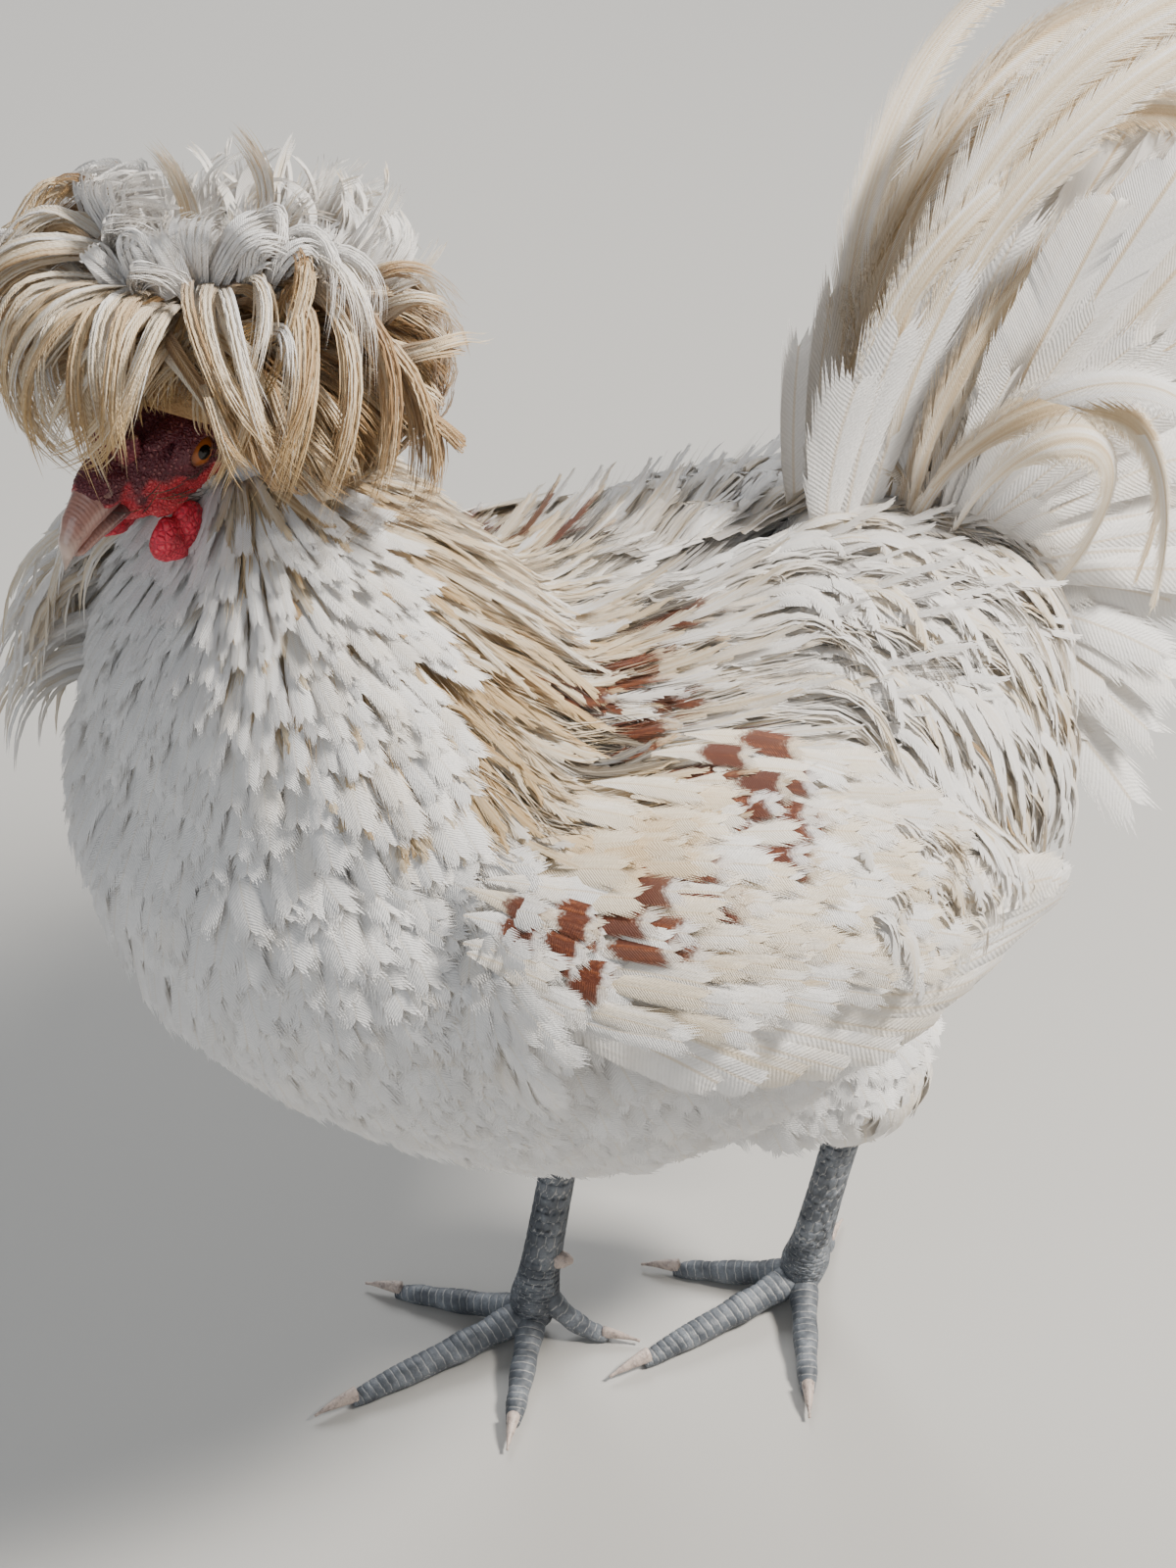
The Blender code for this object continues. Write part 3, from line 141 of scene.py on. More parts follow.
# The skin: one surface over trunk, neck, shoulders and thighs, all of it hidden by feathers. It lies
# inside the plumage's outline by the depth of the coat and is drawn as sections across the body.
# Trunk: place along it, height of the widest line, half width, reach above and below that line.
TRUNK = (
    (-0.152, 0.26, 0.046, 0.043, 0.047),
    (-0.128, 0.253, 0.071, 0.057, 0.067),
    (-0.085, 0.24, 0.09, 0.07, 0.09),
    (-0.035, 0.228, 0.097, 0.078, 0.103),
    (0.02, 0.222, 0.095, 0.078, 0.095),
    (0.065, 0.224, 0.082, 0.076, 0.074),
    (0.102, 0.23, 0.061, 0.062, 0.052),
    (0.128, 0.236, 0.038, 0.04, 0.036),
)
TRUNK_FRONT = xyz(-0.166, 0.0, 0.263)
TRUNK_REAR = xyz(0.142, 0.0, 0.245)
# Neck with its cape: centre line, half width and half depth.
NECK = (
    (xyz(-0.078, 0.0, 0.25), 0.078, 0.066),
    (xyz(-0.094, 0.0, 0.288), 0.075, 0.064),
    (xyz(-0.103, 0.0, 0.318), 0.062, 0.055),
    (xyz(-0.108, 0.0, 0.344), 0.047, 0.042),
    (xyz(-0.112, 0.0, 0.364), 0.033, 0.029),
    (xyz(-0.116, 0.0, 0.384), 0.022, 0.021),
)
# Folded wing as a plate on the flank: place along it, mid height, half height and half thickness.
WING = (
    (-0.096, 0.254, 0.024, 0.005),
    (-0.07, 0.25, 0.04, 0.0075),
    (-0.02, 0.236, 0.048, 0.008),
    (0.03, 0.216, 0.043, 0.007),
    (0.07, 0.196, 0.031, 0.0055),
    (0.098, 0.183, 0.019, 0.004),
)
WING_FRONT = -0.104
WING_REAR = 0.112
WING_REAR_HEIGHT = 0.177
WING_STAND_OFF = 0.0075
# Legs: foot centre, hock and knee; a thigh is drawn in shares of the way from hock to knee.
LEG_POINTS = (
    ("left", -1, (0.061, -0.017, 0.0), (0.074, -0.026, 0.106), (0.034, -0.033, 0.156)),
    ("right", 1, (-0.026, 0.017, 0.0), (-0.002, 0.026, 0.106), (-0.034, 0.033, 0.156)),
)
LEGS = {leg: (side, *(Vector(point) for point in points)) for leg, side, *points in LEG_POINTS}
THIGH = (
    (-0.1, 0.0135, 0.0145),
    (0.12, 0.021, 0.024),
    (0.4, 0.026, 0.033),
    (0.7, 0.026, 0.036),
    (1.0, 0.022, 0.03),
)
COAT_DEPTH = 0.011
SKIN_VOXEL = 0.003
DRAPE_VOXEL = 0.004
THIGH_COAT = 0.007
WING_COVER = 0.003
UP = xyz(0, 0, 1)
ACROSS = xyz(0, 1, 0)
AHEAD = xyz(-1, 0, 0)


def section(centre, across, up, half_width, reach_up, reach_down, sides=32):
    """Points round an oval whose upper and lower halves may differ."""
    points = []
    for step in range(sides):
        turn = 2 * pi * step / sides
        rise = sin(turn)
        reach = reach_up if rise >= 0 else reach_down
        points.append(centre + across * half_width * cos(turn) + up * reach * rise)
    return points


def loft(name, rings, first, last):
    """A closed shape through rings of equal count, with a point closing each end."""
    shape = bmesh.new()
    rows = [[shape.verts.new(point) for point in ring] for ring in rings]
    ends = shape.verts.new(first), shape.verts.new(last)
    for step in range(len(rings[0])):
        after = (step + 1) % len(rings[0])
        shape.faces.new((ends[0], rows[0][step], rows[0][after]))
        shape.faces.new((ends[1], rows[-1][after], rows[-1][step]))
        for row, onward in zip(rows, rows[1:]):
            shape.faces.new((row[step], onward[step], onward[after], row[after]))
    bmesh.ops.recalc_face_normals(shape, faces=shape.faces)
    mesh = bpy.data.meshes.new(name)
    shape.to_mesh(mesh)
    shape.free()
    return added(name, mesh)


def tube(name, spine, radii, sides=24, side_way=ACROSS):
    """A tube along a spine with a half width and a half depth at each point."""
    rings = []
    for index, (point, (width, depth)) in enumerate(zip(spine, radii)):
        along = (spine[min(index + 1, len(spine) - 1)] - spine[max(index - 1, 0)]).normalized()
        up = along.cross(side_way).normalized()
        rings.append(section(point, up.cross(along).normalized(), up, width, depth, depth, sides))
    lead = (spine[0] - spine[1]).normalized() * min(radii[0]) * 0.4
    trail = (spine[-1] - spine[-2]).normalized() * min(radii[-1]) * 0.4
    return loft(name, rings, spine[0] + lead, spine[-1] + trail)


def smooth_rows(table, times=3):
    """A table of numbers with rows put between its own, so that what is lofted through it is rounder."""
    rows = [list(row) for row in table]
    for _ in range(times):
        finer = [rows[0]]
        for index in range(len(rows) - 1):
            before, near = rows[max(index - 1, 0)], rows[index]
            far, beyond = rows[index + 1], rows[min(index + 2, len(rows) - 1)]
            middle = [(n + f) * 9 / 16 - (b + e) / 16 for b, n, f, e in zip(before, near, far, beyond)]
            finer += [middle, far]
        rows = finer
    return rows


def trunk_piece(inset):
    rings = []
    for x, z, width, up, down in smooth_rows(TRUNK, 2):
        rings.append(section(xyz(x, 0, z), ACROSS, UP, width - inset, up - inset, down - inset))
    along = (TRUNK_REAR - TRUNK_FRONT).normalized() * inset
    return loft("trunk", rings, TRUNK_FRONT + along, TRUNK_REAR - along)


def neck_piece(inset):
    rows = smooth_rows([(*point, width, depth) for point, width, depth in NECK], 2)
    return tube("neck", [Vector(row[:3]) for row in rows], [(row[3] - inset, row[4] - inset) for row in rows])


def thigh_piece(leg, inset):
    _, _, hock, knee = LEGS[leg]
    spine = [hock.lerp(knee, share) if share >= 0 else hock + (knee - hock) * share for share, _, _ in THIGH]
    return tube("thigh", spine, [(width - inset, depth - inset) for _, width, depth in THIGH])


def between(table, x):
    """A row of a table at any place along it."""
    for near, far in zip(table, table[1:]):
        if x <= far[0]:
            share = (x - near[0]) / (far[0] - near[0])
            return [a + (b - a) * share for a, b in zip(near, far)]
    return list(table[-1])


def row_at(table, place):
    """A row of a table at a place counted in rows."""
    near = min(int(place), len(table) - 2)
    return [a + (b - a) * (place - near) for a, b in zip(table[near], table[near + 1])]


def flank_spot(x, z, side, stand_off):
    """A point beside the trunk at a place along it and a height, standing off it by a distance."""
    _, mid, width, up, down = between(TRUNK, max(x, TRUNK[0][0]))
    reach = up if z >= mid else down
    out = width * math.sqrt(max(0.0, 1 - ((z - mid) / reach) ** 2))
    return Vector((x, side * (out + stand_off), z))


def wing_piece(side, grow):
    rings = []
    for x, z, half, thick in smooth_rows(WING, 2):
        ring = []
        for step in range(24):
            turn = 2 * pi * step / 24
            height = z + (half + grow) * sin(turn)
            ring.append(flank_spot(x, height, side, WING_STAND_OFF + (thick + grow) * cos(turn)))
        rings.append(ring)
    front = flank_spot(WING_FRONT, WING[0][1], side, WING_STAND_OFF)
    rear = flank_spot(WING_REAR, WING_REAR_HEIGHT, side, WING_STAND_OFF)
    return loft("wing", rings, front, rear)


def melted(name, pieces, voxel, smoothing):
    """Pieces that overlap made one smooth closed surface."""
    bpy.ops.object.select_all(action="DESELECT")
    for piece in pieces:
        piece.select_set(True)
    bpy.context.view_layer.objects.active = pieces[0]
    bpy.ops.object.join()
    whole = bpy.context.object
    whole.name = name
    remesh = whole.modifiers.new("remesh", "REMESH")
    remesh.mode = "VOXEL"
    remesh.voxel_size = voxel
    bpy.ops.object.modifier_apply(modifier="remesh")
    smooth = whole.modifiers.new("smooth", "SMOOTH")
    smooth.iterations = smoothing
    bpy.ops.object.modifier_apply(modifier="smooth")
    bpy.ops.object.shade_smooth()
    return whole


def tree_of(piece):
    """A lookup of the nearest place on a surface, in place of the piece itself."""
    shape = bmesh.new()
    shape.from_mesh(piece.data)
    tree = BVHTree.FromBMesh(shape)
    shape.free()
    bpy.data.objects.remove(piece, do_unlink=True)
    return tree


def hold(piece, name, values):
    """Gives each point of a piece a number that its finish reads."""
    held = piece.data.attributes.new(name, "FLOAT", "POINT")
    held.data.foreach_set("value", values)


def finished(piece, material, slot, *nodes):
    """Gives a piece of the head its material and settles it there."""
    piece.data.materials.append(material)
    piece.data.transform(HEAD)
    settle(piece, slot, *nodes)


def settle(piece, slot, *nodes):
    """Moves a finished piece to the frame's origin and gives it to the bird."""
    piece.data.transform(Matrix.Translation(TO_FRAME))
    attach(piece, "root")
    if nodes:
        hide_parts(*nodes)


class Term:
    """A shader value that can be written into a sum."""

    def __init__(self, finish, socket):
        self.finish = finish
        self.socket = socket


def operator(operation, swapped=False):
    def work(one, other):
        return one.finish.maths(operation, *((other, one) if swapped else (one, other)))
    return work


for word, operation in (("add", "ADD"), ("sub", "SUBTRACT"), ("mul", "MULTIPLY"), ("pow", "POWER")):
    setattr(Term, f"__{word}__", operator(operation))
    setattr(Term, f"__r{word}__", operator(operation, True))


class Finish:
    """One material, built from its shader outwards."""

    def __init__(self, name, roughness, **constants):
        self.material = bpy.data.materials.new(name)
        self.material.use_nodes = True
        self.nodes = self.material.node_tree.nodes
        self.shader = self.nodes["Principled BSDF"]
        self.shader.inputs["Roughness"].default_value = roughness
        for socket, value in constants.items():
            self.shader.inputs[socket.replace("_", " ")].default_value = value

    def feed(self, socket, value):
        if isinstance(value, Term):
            self.material.node_tree.links.new(value.socket, socket)
        elif value is not None:
            opaque = socket.type == "RGBA" and len(value) == 3
            socket.default_value = (*value, 1.0) if opaque else value

    def make(self, kind, settings, values, output=0):
        """A node with its settings made first and its sockets fed by place or by name."""
        node = self.nodes.new("ShaderNode" + kind)
        for setting, value in settings.items():
            setattr(node, setting, value)
        for key, value in values.items():
            self.feed(node.inputs[key], value)
        return Term(self, node.outputs[output])

    def maths(self, operation, *values):
        return self.make("Math", {"operation": operation}, dict(enumerate(values)))

    def smooth(self, value, low, high):
        """0 below low, 1 above high, and a smooth rise between."""
        ramp = {"Value": value, "From Min": low, "From Max": high}
        return self.make("MapRange", {"interpolation_type": "SMOOTHSTEP"}, ramp)

    def mix(self, first, second, factor):
        colours = {0: factor, 6: first, 7: second}
        return self.make("Mix", {"data_type": "RGBA"}, colours, 2)

    def over(self, colour, other, value, low, high, share=None):
        """Another colour laid over one, from where a value passes low to where it passes high."""
        mask = self.smooth(value, low, high)
        return self.mix(colour, other, mask if share is None else mask * share)

    def noise(self, vector, scale, detail=2.0, roughness=0.5):
        values = {"Vector": vector, "Scale": scale, "Detail": detail, "Roughness": roughness}
        return self.make("TexNoise", {}, values)

    def attribute(self, name, output="Fac"):
        return self.make("Attribute", {"attribute_name": name}, {}, output)

    def parts(self, vector):
        """The three numbers of a vector or a colour."""
        return [self.make("SeparateXYZ", {}, {0: vector}, output) for output in range(3)]

    def place(self):
        return self.make("TexCoord", {}, {}, "Object")

    def thin(self, share, colour):
        """Lets that share of the light through, as a feather does."""
        links = self.material.node_tree.links
        glow = self.nodes.new("ShaderNodeBsdfTranslucent")
        self.feed(glow.inputs["Color"], colour)
        both = self.nodes.new("ShaderNodeMixShader")
        both.inputs["Fac"].default_value = share
        links.new(self.shader.outputs["BSDF"], both.inputs[1])
        links.new(glow.outputs["BSDF"], both.inputs[2])
        links.new(both.outputs["Shader"], self.nodes["Material Output"].inputs["Surface"])

    def dress(self, colour, roughness=None, bump=None, bump_height=0.0002):
        self.feed(self.shader.inputs["Base Color"], colour)
        if roughness is not None:
            self.feed(self.shader.inputs["Roughness"], roughness)
        if bump is not None:
            normal = self.make("Bump", {}, {"Height": bump, "Distance": bump_height, "Strength": 1.0})
            self.feed(self.shader.inputs["Normal"], normal)
        return self.material


# Colours of the plumage, from the whitest to the darkest.
WHITE = (0.88, 0.87, 0.86)
CREAM = (0.8, 0.7, 0.55)
STRAW = (0.66, 0.5, 0.3)
BUFF = (0.47, 0.295, 0.14)
BROWN = (0.22, 0.115, 0.045)
GOLD = (0.62, 0.41, 0.165)
RUST = (0.095, 0.02, 0.007)
PALE_RUST = (0.23, 0.066, 0.02)
SOOT = (0.035, 0.034, 0.036)
DOWN_GREY = (0.62, 0.6, 0.59)

down = Finish("down", 0.95, Sheen_Weight=0.3)
down_clouds = down.noise(down.place(), 90.0, 3.0)
down_tufts = down.noise(down.place(), 700.0, 2.0)
down_colour = down.mix(WHITE, DOWN_GREY, down_clouds)
down_finish = down.dress(down_colour, None, down_tufts, 0.001)

flesh = [trunk_piece(COAT_DEPTH), neck_piece(COAT_DEPTH)]
flesh += [thigh_piece("left", THIGH_COAT), thigh_piece("right", THIGH_COAT)]
skin = melted("skin_body", flesh, SKIN_VOXEL, 4)
skin.data.materials.append(down_finish)

# The plumage's outline as lookups for the feathers to lie on: the trunk alone, and trunk, neck and wings
# together for the long feathers that hang over all of them.
outline = [trunk_piece(0.0), thigh_piece("left", 0.0), thigh_piece("right", 0.0)]
TRUNK_TREE = tree_of(melted("outline", outline, DRAPE_VOXEL, 2))
outline = [trunk_piece(0.0), neck_piece(0.0), wing_piece(-1, WING_COVER), wing_piece(1, WING_COVER)]
DRAPE_TREE = tree_of(melted("outline", outline, DRAPE_VOXEL, 6))
settle(skin, "white_plumage", "torso", "neck", "thigh_left", "thigh_right")


# Body feathers of breast, belly and flanks: soft rounded blades with loose edges, set in the skin like
# tiles and pointing down and back. Every feather on the bird is one of a few patterns bent along a spine.
class Pattern:
    """A flat feather of unit length and unit half width: a shaft, a vane on each side, and its barbs' ends.

    Each point is held as its place along, its place across and its height, and faces as indexes.
    """

    def __init__(self, stations, widths, lean, solid, pinch, seed, cup=0.16, ridge=0.05, clump=(2, 5)):
        chance = random.Random(seed)
        points, faces = [], []

        def half(along):
            return float(np.interp(along, np.linspace(0, 1, len(widths)), widths))

        def add(along, across, height):
            points.append((along, across, height))
            return len(points) - 1

        shaft = [add(step / stations, 0.0, ridge) for step in range(stations + 1)]
        for side in (-1, 1):
            inner = []
            for step in range(stations + 1):
                along = step / stations
                reach = half(along) * solid
                inner.append(add(along + lean * reach, side * reach, -cup * reach**2))
            step = 0
            while step < stations:
                count = min(chance.randint(*clump), stations - step)
                heart = (step + count / 2) / stations
                draw = pinch * chance.uniform(0.6, 1.2)
                length = chance.uniform(0.9, 1.06)
                height = chance.uniform(-0.05, 0.05)
                for barb in range(step, step + count):
                    along = (barb + 0.5) / stations
                    reach = half(along) * length * chance.uniform(0.92, 1.05)
                    tip_along = along + (heart - along) * draw + lean * reach * 1.25
                    tip = add(tip_along, side * reach, -cup * reach**2 + height)
                    quad = (shaft[barb], shaft[barb + 1], inner[barb + 1], inner[barb])
                    tooth = (inner[barb], inner[barb + 1], tip)
                    faces.append(quad if side < 0 else quad[::-1])
                    faces.append(tooth if side < 0 else tooth[::-1])
                step += count
        self.points = np.array(points)
        self.faces = faces


class Tress:
    """A ribbon of loose strands that leave one root side by side and part into points at the end."""

    def __init__(self, strands, stations, seed, spread=1.0, thick=0.34, drop=0.25):
        chance = random.Random(seed)
        points, faces = [], []
        for strand in range(strands):
            seat = -1 + 2 * (strand + 0.5) / strands
            end = seat * spread + chance.uniform(-0.35, 0.35)
            length = chance.uniform(0.8, 1.06)
            height = chance.uniform(-0.12, 0.22)
            wave = chance.uniform(-0.25, 0.25)
            start = len(points)
            for step in range(stations + 1):
                share = step / stations
                middle = seat * 0.55 * (1 - share) + end * share + wave * sin(pi * share)
                lift = height * sin(pi * share) - drop * middle**2 * share
                if step == stations:
                    points.append((length, middle, lift))
                    break
                half = thick * (0.55 + 0.45 * sin(pi * min(1, share + 0.25))) * (1 - share**3)
                points.append((share * length, middle - half, lift - 0.1))
                points.append((share * length, middle + half, lift))
            for step in range(stations - 1):
                a = start + 2 * step
                faces.append((a, a + 2, a + 3, a + 1))
            a = start + 2 * (stations - 1)
            faces.append((a, a + 2, a + 1))
        self.points = np.array(points)
        self.faces = faces


def weights_along(shares, stations):
    """How much of each spine point makes up the curve at each share of its length."""
    table = np.zeros((len(shares), stations))
    for row, share in enumerate(shares):
        place = min(max(share, 0.0), 1.0) * (stations - 1)
        near = min(int(place), stations - 2)
        part = place - near
        before, beyond = max(near - 1, 0), min(near + 2, stations - 1)
        table[row, before] += -0.5 * part + part**2 - 0.5 * part**3
        table[row, near] += 1 - 2.5 * part**2 + 1.5 * part**3
        table[row, near + 1] += 0.5 * part + 2 * part**2 - 1.5 * part**3
        table[row, beyond] += -0.5 * part**2 + 0.5 * part**3
        if share > 1:
            table[row, -1] += (share - 1) * (stations - 1)
            table[row, -2] -= (share - 1) * (stations - 1)
    return table


def smooth_step(value, low, high):
    share = min(1.0, max(0.0, (value - low) / (high - low)))
    return share * share * (3 - 2 * share)


def unit(vectors):
    return vectors / np.maximum(np.linalg.norm(vectors, axis=-1, keepdims=True), 1e-9)


def mirrored(point, side):
    return Vector((point.x, point.y * side, point.z))


class Coat:
    """Feathers gathered for one piece: each a spine, its facing, width, marks and place on the skin."""

    def __init__(self, name, patterns):
        self.name = name
        self.patterns = patterns
        self.feathers = []

    def plant(self, spine, facing, width, marks, patch, soot=0.0):
        """Marks are buff and shade, each 0 to 1. Patch is the root's place on the skin's unwrap."""
        pattern = self.patterns[len(self.feathers) % len(self.patterns)]
        self.feathers.append([pattern, spine, facing, width, (marks[0], 0.0, soot, marks[1]), patch])

    def stain(self):
        """Stains the feathers whose outer parts lie over a place on either side, as seen from in front."""
        stains = [(*patch, 0.0, 0.0) for patch in TAN_PATCHES]
        stains += [(*mark[:4], 0.0, *mark[4:]) for mark in STAINS]
        for *place, reach, buff, rust, soot in stains:
            for side in (-1, 1):
                sight, middle = mirrored(away, side), mirrored(Vector(place), side)
                for feather in self.feathers:
                    off = feather[1][-1].lerp(feather[1][-2], 0.6) - middle
                    if (off - sight * off.dot(sight)).length < reach and off.length < reach + STAIN_DEPTH:
                        own_buff, own_rust, own_soot, shade = feather[4]
                        warm = max(own_buff, buff * (shade * 1.7 - 0.6))
                        feather[4] = (warm, max(own_rust, rust), max(own_soot, soot), shade)

    def piece(self, material):
        points, faces, sizes, marks, plume_uv, bake_uv = [], [], [], [], [], []
        start = 0
        batches = {}
        for feather in self.feathers:
            batches.setdefault((id(feather[0]), len(feather[1])), []).append(feather)
        for feathers in batches.values():
            pattern = feathers[0][0]
            spines = np.array([[tuple(p) for p in feather[1]] for feather in feathers])
            facings = np.array([[tuple(n) for n in feather[2]] for feather in feathers])
            widths = np.array([feather[3] for feather in feathers])[:, None, None]
            weights = weights_along(pattern.points[:, 0], spines.shape[1])
            centre = np.einsum("vk,fkc->fvc", weights, spines)
            ways = np.gradient(spines, axis=1)
            along = unit(np.einsum("vk,fkc->fvc", weights, ways))
            up = np.einsum("vk,fkc->fvc", weights, facings)
            across = unit(np.cross(along, up))
            up = np.cross(across, along)
            out = pattern.points[None, :, 1, None] * widths / 2
            high = pattern.points[None, :, 2, None] * widths / 2
            placed = centre + across * out + up * high
            number, each = placed.shape[:2]
            points.append(placed.reshape(-1, 3))
            marks.append(np.repeat(np.array([feather[4] for feather in feathers]), each, axis=0))
            local = pattern.points[:, :2] * (1.0, 0.5) + (0.0, 0.5)
            plume_uv.append(np.tile(local, (number, 1)))
            corner = np.array([feather[5] for feather in feathers])[:, None, :]
            patch = corner + (local[None] - 0.5) * PATCH
            bake_uv.append(patch.reshape(-1, 2))
            flat = np.concatenate([np.array(face) for face in pattern.faces])
            size = np.array([len(face) for face in pattern.faces])
            offsets = start + np.arange(number)[:, None] * each
            faces.append((flat[None] + offsets).reshape(-1))
            sizes.append(np.tile(size, number))
            start += number * each
        points, faces, sizes = np.concatenate(points), np.concatenate(faces), np.concatenate(sizes)
        mesh = bpy.data.meshes.new(self.name)
        mesh.vertices.add(len(points))
        mesh.vertices.foreach_set("co", points.astype(np.float32).ravel())
        mesh.loops.add(len(faces))
        mesh.loops.foreach_set("vertex_index", faces.astype(np.int32))
        mesh.polygons.add(len(sizes))
        mesh.polygons.foreach_set("loop_start", (np.cumsum(sizes) - sizes).astype(np.int32))
        mesh.update(calc_edges=True)
        for name, values in (("OFBake", np.concatenate(bake_uv)), ("Plume", np.concatenate(plume_uv))):
            layer = mesh.uv_layers.new(name=name)
            layer.data.foreach_set("uv", values[faces].astype(np.float32).ravel())
        held = mesh.attributes.new("marks", "FLOAT_COLOR", "POINT")
        held.data.foreach_set("color", np.concatenate(marks).astype(np.float32).ravel())
        mesh.shade_smooth()
        mesh.materials.append(material)
        return added(self.name, mesh)


PATCH = 0.003
STAIN_DEPTH = 0.014


# How far a feather laid on the coat may lean, how early it lifts, how far its end tucks in and how much its
# drift grows along it: loose ones on breast, neck and head, and firmer ones on the back.
LOOSE = (0.09, 0.75, 0.1, 1)
FIRM = (0.12, 0.7, 0.0, 0)


def laid(tree, start, flow, length, steps, sink, lift, chance, sway=0.12, curl=0.0, hang=LOOSE):
    """Spine and facings of a feather that runs along a surface from a sunken root to a lifted tip."""
    spine, facings = [], []
    spot = start
    lean_reach, power, tuck, growth = hang
    lean = chance(-lean_reach, lean_reach)
    drift = chance(-sway, sway)
    for step in range(steps + 1):
        share = step / steps
        place, normal, _, _ = tree.find_nearest(spot)
        way = (flow - normal * flow.dot(normal)).normalized()
        side_way = way.cross(normal)
        height = -sink + (sink + lift) * share**power + curl * share**3
        spine.append(place + normal * height)
        facings.append((normal + side_way * lean - way * tuck * share).normalized())
        spot = place + (way + side_way * drift * (1 + growth * share)).normalized() * length / steps
    return spine, facings


def scattered(chance, first, last, number):
    """Each side, and on it one place drawn from each of a number of equal steps."""
    for side in (-1, 1):
        for index in range(number):
            yield side, first + (last - first) * (index + chance(0, 1)) / number


def trunk_spot(x, around, side):
    """A point of the plumage's outline: around is 0 at the belly, 90 at the flank and 180 at the back."""
    _, mid, width, up, down = between(TRUNK, x)
    turn = radians(around)
    reach = down if around < 90 else up
    return Vector((x, side * width * sin(turn), mid - reach * cos(turn)))


def trunk_patch(x, around, side):
    """A place on the trunk unrolled: along it, and round it from the left of the back to the right."""
    return (0.02 + 0.96 * (x + 0.17) / 0.32, 0.5 + side * 0.48 * around / 180)


def plume_finish(name, barbs, streaks=0.5, gilt=0.0, glow=0.14, vane=0.0, quill=0.35):
    """Feather colour by its marks: white through cream, straw and buff to brown, streaked along each blade.

    Barbs is how many lines cross a blade, streaks how far its strands differ, gilt how golden its tips are,
    glow how much light comes through, vane how far its barbs differ and quill how plain its shaft is.
    """
    made = Finish(name, 0.62, Specular_IOR_Level=0.35)
    uv = made.make("UVMap", {"uv_map": "Plume"}, {})
    along, across, _ = made.parts(uv)
    out = made.maths("ABSOLUTE", across * 2.0 - 1.0)
    buff, rust, soot = made.parts(made.attribute("marks", "Color"))
    shade = made.attribute("marks", "Alpha")
    place = made.place()
    clouds = made.noise(place, 55.0, 1.0)
    fibres = made.noise(place, 1100.0, 1.0, 0.6)
    own = {0: along * 1.3 + shade * 41.0, 1: across * 9.0 + buff * 57.0, 2: shade * 13.0}
    spot = made.make("CombineXYZ", {}, own)
    strand = made.noise(spot, 1.0, 2.0, 0.65) - 0.5
    stripe = made.maths("SINE", (along - out * 0.13) * (barbs * 6.2832))
    tone = buff + strand * streaks * made.smooth(buff, -0.05, 0.35) + (clouds - 0.5) * 0.25
    colour = made.over(WHITE, CREAM, tone, 0.04, 0.42)
    colour = made.over(colour, STRAW, tone, 0.34, 0.72)
    colour = made.over(colour, BUFF, tone, 0.66, 1.02)
    colour = made.over(colour, BROWN, tone, 1.00, 1.4)
    if gilt:
        colour = made.mix(colour, GOLD, made.smooth(along, 0.55, 0.98) * made.smooth(tone, 0.15, 0.6) * gilt)
    # Grey towards the root: the downy base, and painted shade under the overlapping feather above.
    colour = made.mix(colour, DOWN_GREY, (1.0 - made.smooth(along, 0.0, 0.35)) * 0.45)
    mask = made.smooth(along + (fibres - 0.5) * 0.18 - out * 0.16, 0.42, 0.56) * made.smooth(rust, 0.2, 0.6)
    mask = mask * (1.0 - made.smooth(along - out * 0.1 + (fibres - 0.5) * 0.1, 0.86, 0.96) * 0.75)
    rusty = made.mix(RUST, PALE_RUST, made.smooth(fibres * 0.6 + strand + shade * 0.4, 0.5, 1.00))
    colour = made.mix(colour, rusty, mask)
    dark = made.smooth(along + (fibres - 0.5) * 0.3 - out * 0.2, 0.25, 0.5) * soot
    colour = made.mix(colour, SOOT, dark)
    shaft = (1.0 - made.smooth(out, 0.02, 0.075)) * (quill - mask * quill)
    colour = made.mix(colour, STRAW if vane else CREAM, shaft)
    light = 0.8 + shade * 0.2 + stripe * (0.012 + vane * 0.1) + (fibres - 0.5) * 0.07
    if vane:
        lines = {0: (along - out * 0.13) * (barbs * 0.6) + shade * 31.0, 1: out * 0.8}
        slant = made.make("CombineXYZ", {}, lines)
        light = light + (made.noise(slant, 1.0, 2.0, 0.7) - 0.5) * vane
    colour = made.make("VectorMath", {"operation": "SCALE"}, {0: colour, "Scale": light})
    made.thin(glow, (0.9, 0.84, 0.76))
    return made.dress(colour, None, stripe * 0.25 + fibres + strand, 0.00018)


body_plume = plume_finish("body_feather", 42.0, 0.3, 0.0, 0.1)
ROUND = (0.16, 0.42, 0.66, 0.85, 0.97, 1.0, 0.97, 0.86, 0.66, 0.26)
BODY_PATTERNS = [Pattern(18, ROUND, 0.28, 0.68, 0.4, seed, 0.18, 0.05, (2, 5)) for seed in range(6)]
DOWN_AND_BACK = xyz(0.5, 0.0, -1.0)
HANGING = xyz(0.3, 0.0, -1.0)
# Rows of body feathers: first and last place along the trunk, spacing along it, first and last place
# round it, spacing round it, feather length, width, lift of the tip and the way they point.
BODY_ROWS = (
    (-0.16, -0.08, 0.0058, 3, 150, 0.0062, 0.033, 0.0118, 0.0042, DOWN_AND_BACK),
    (-0.08, 0.01, 0.006, 2, 92, 0.0066, 0.034, 0.0122, 0.0046, DOWN_AND_BACK),
    (0.01, 0.118, 0.0062, 2, 96, 0.007, 0.028, 0.0122, 0.003, HANGING),
    (0.03, 0.136, 0.0075, 96, 178, 0.008, 0.03, 0.013, 0.003, xyz(0.8, 0.0, -0.7)),
)

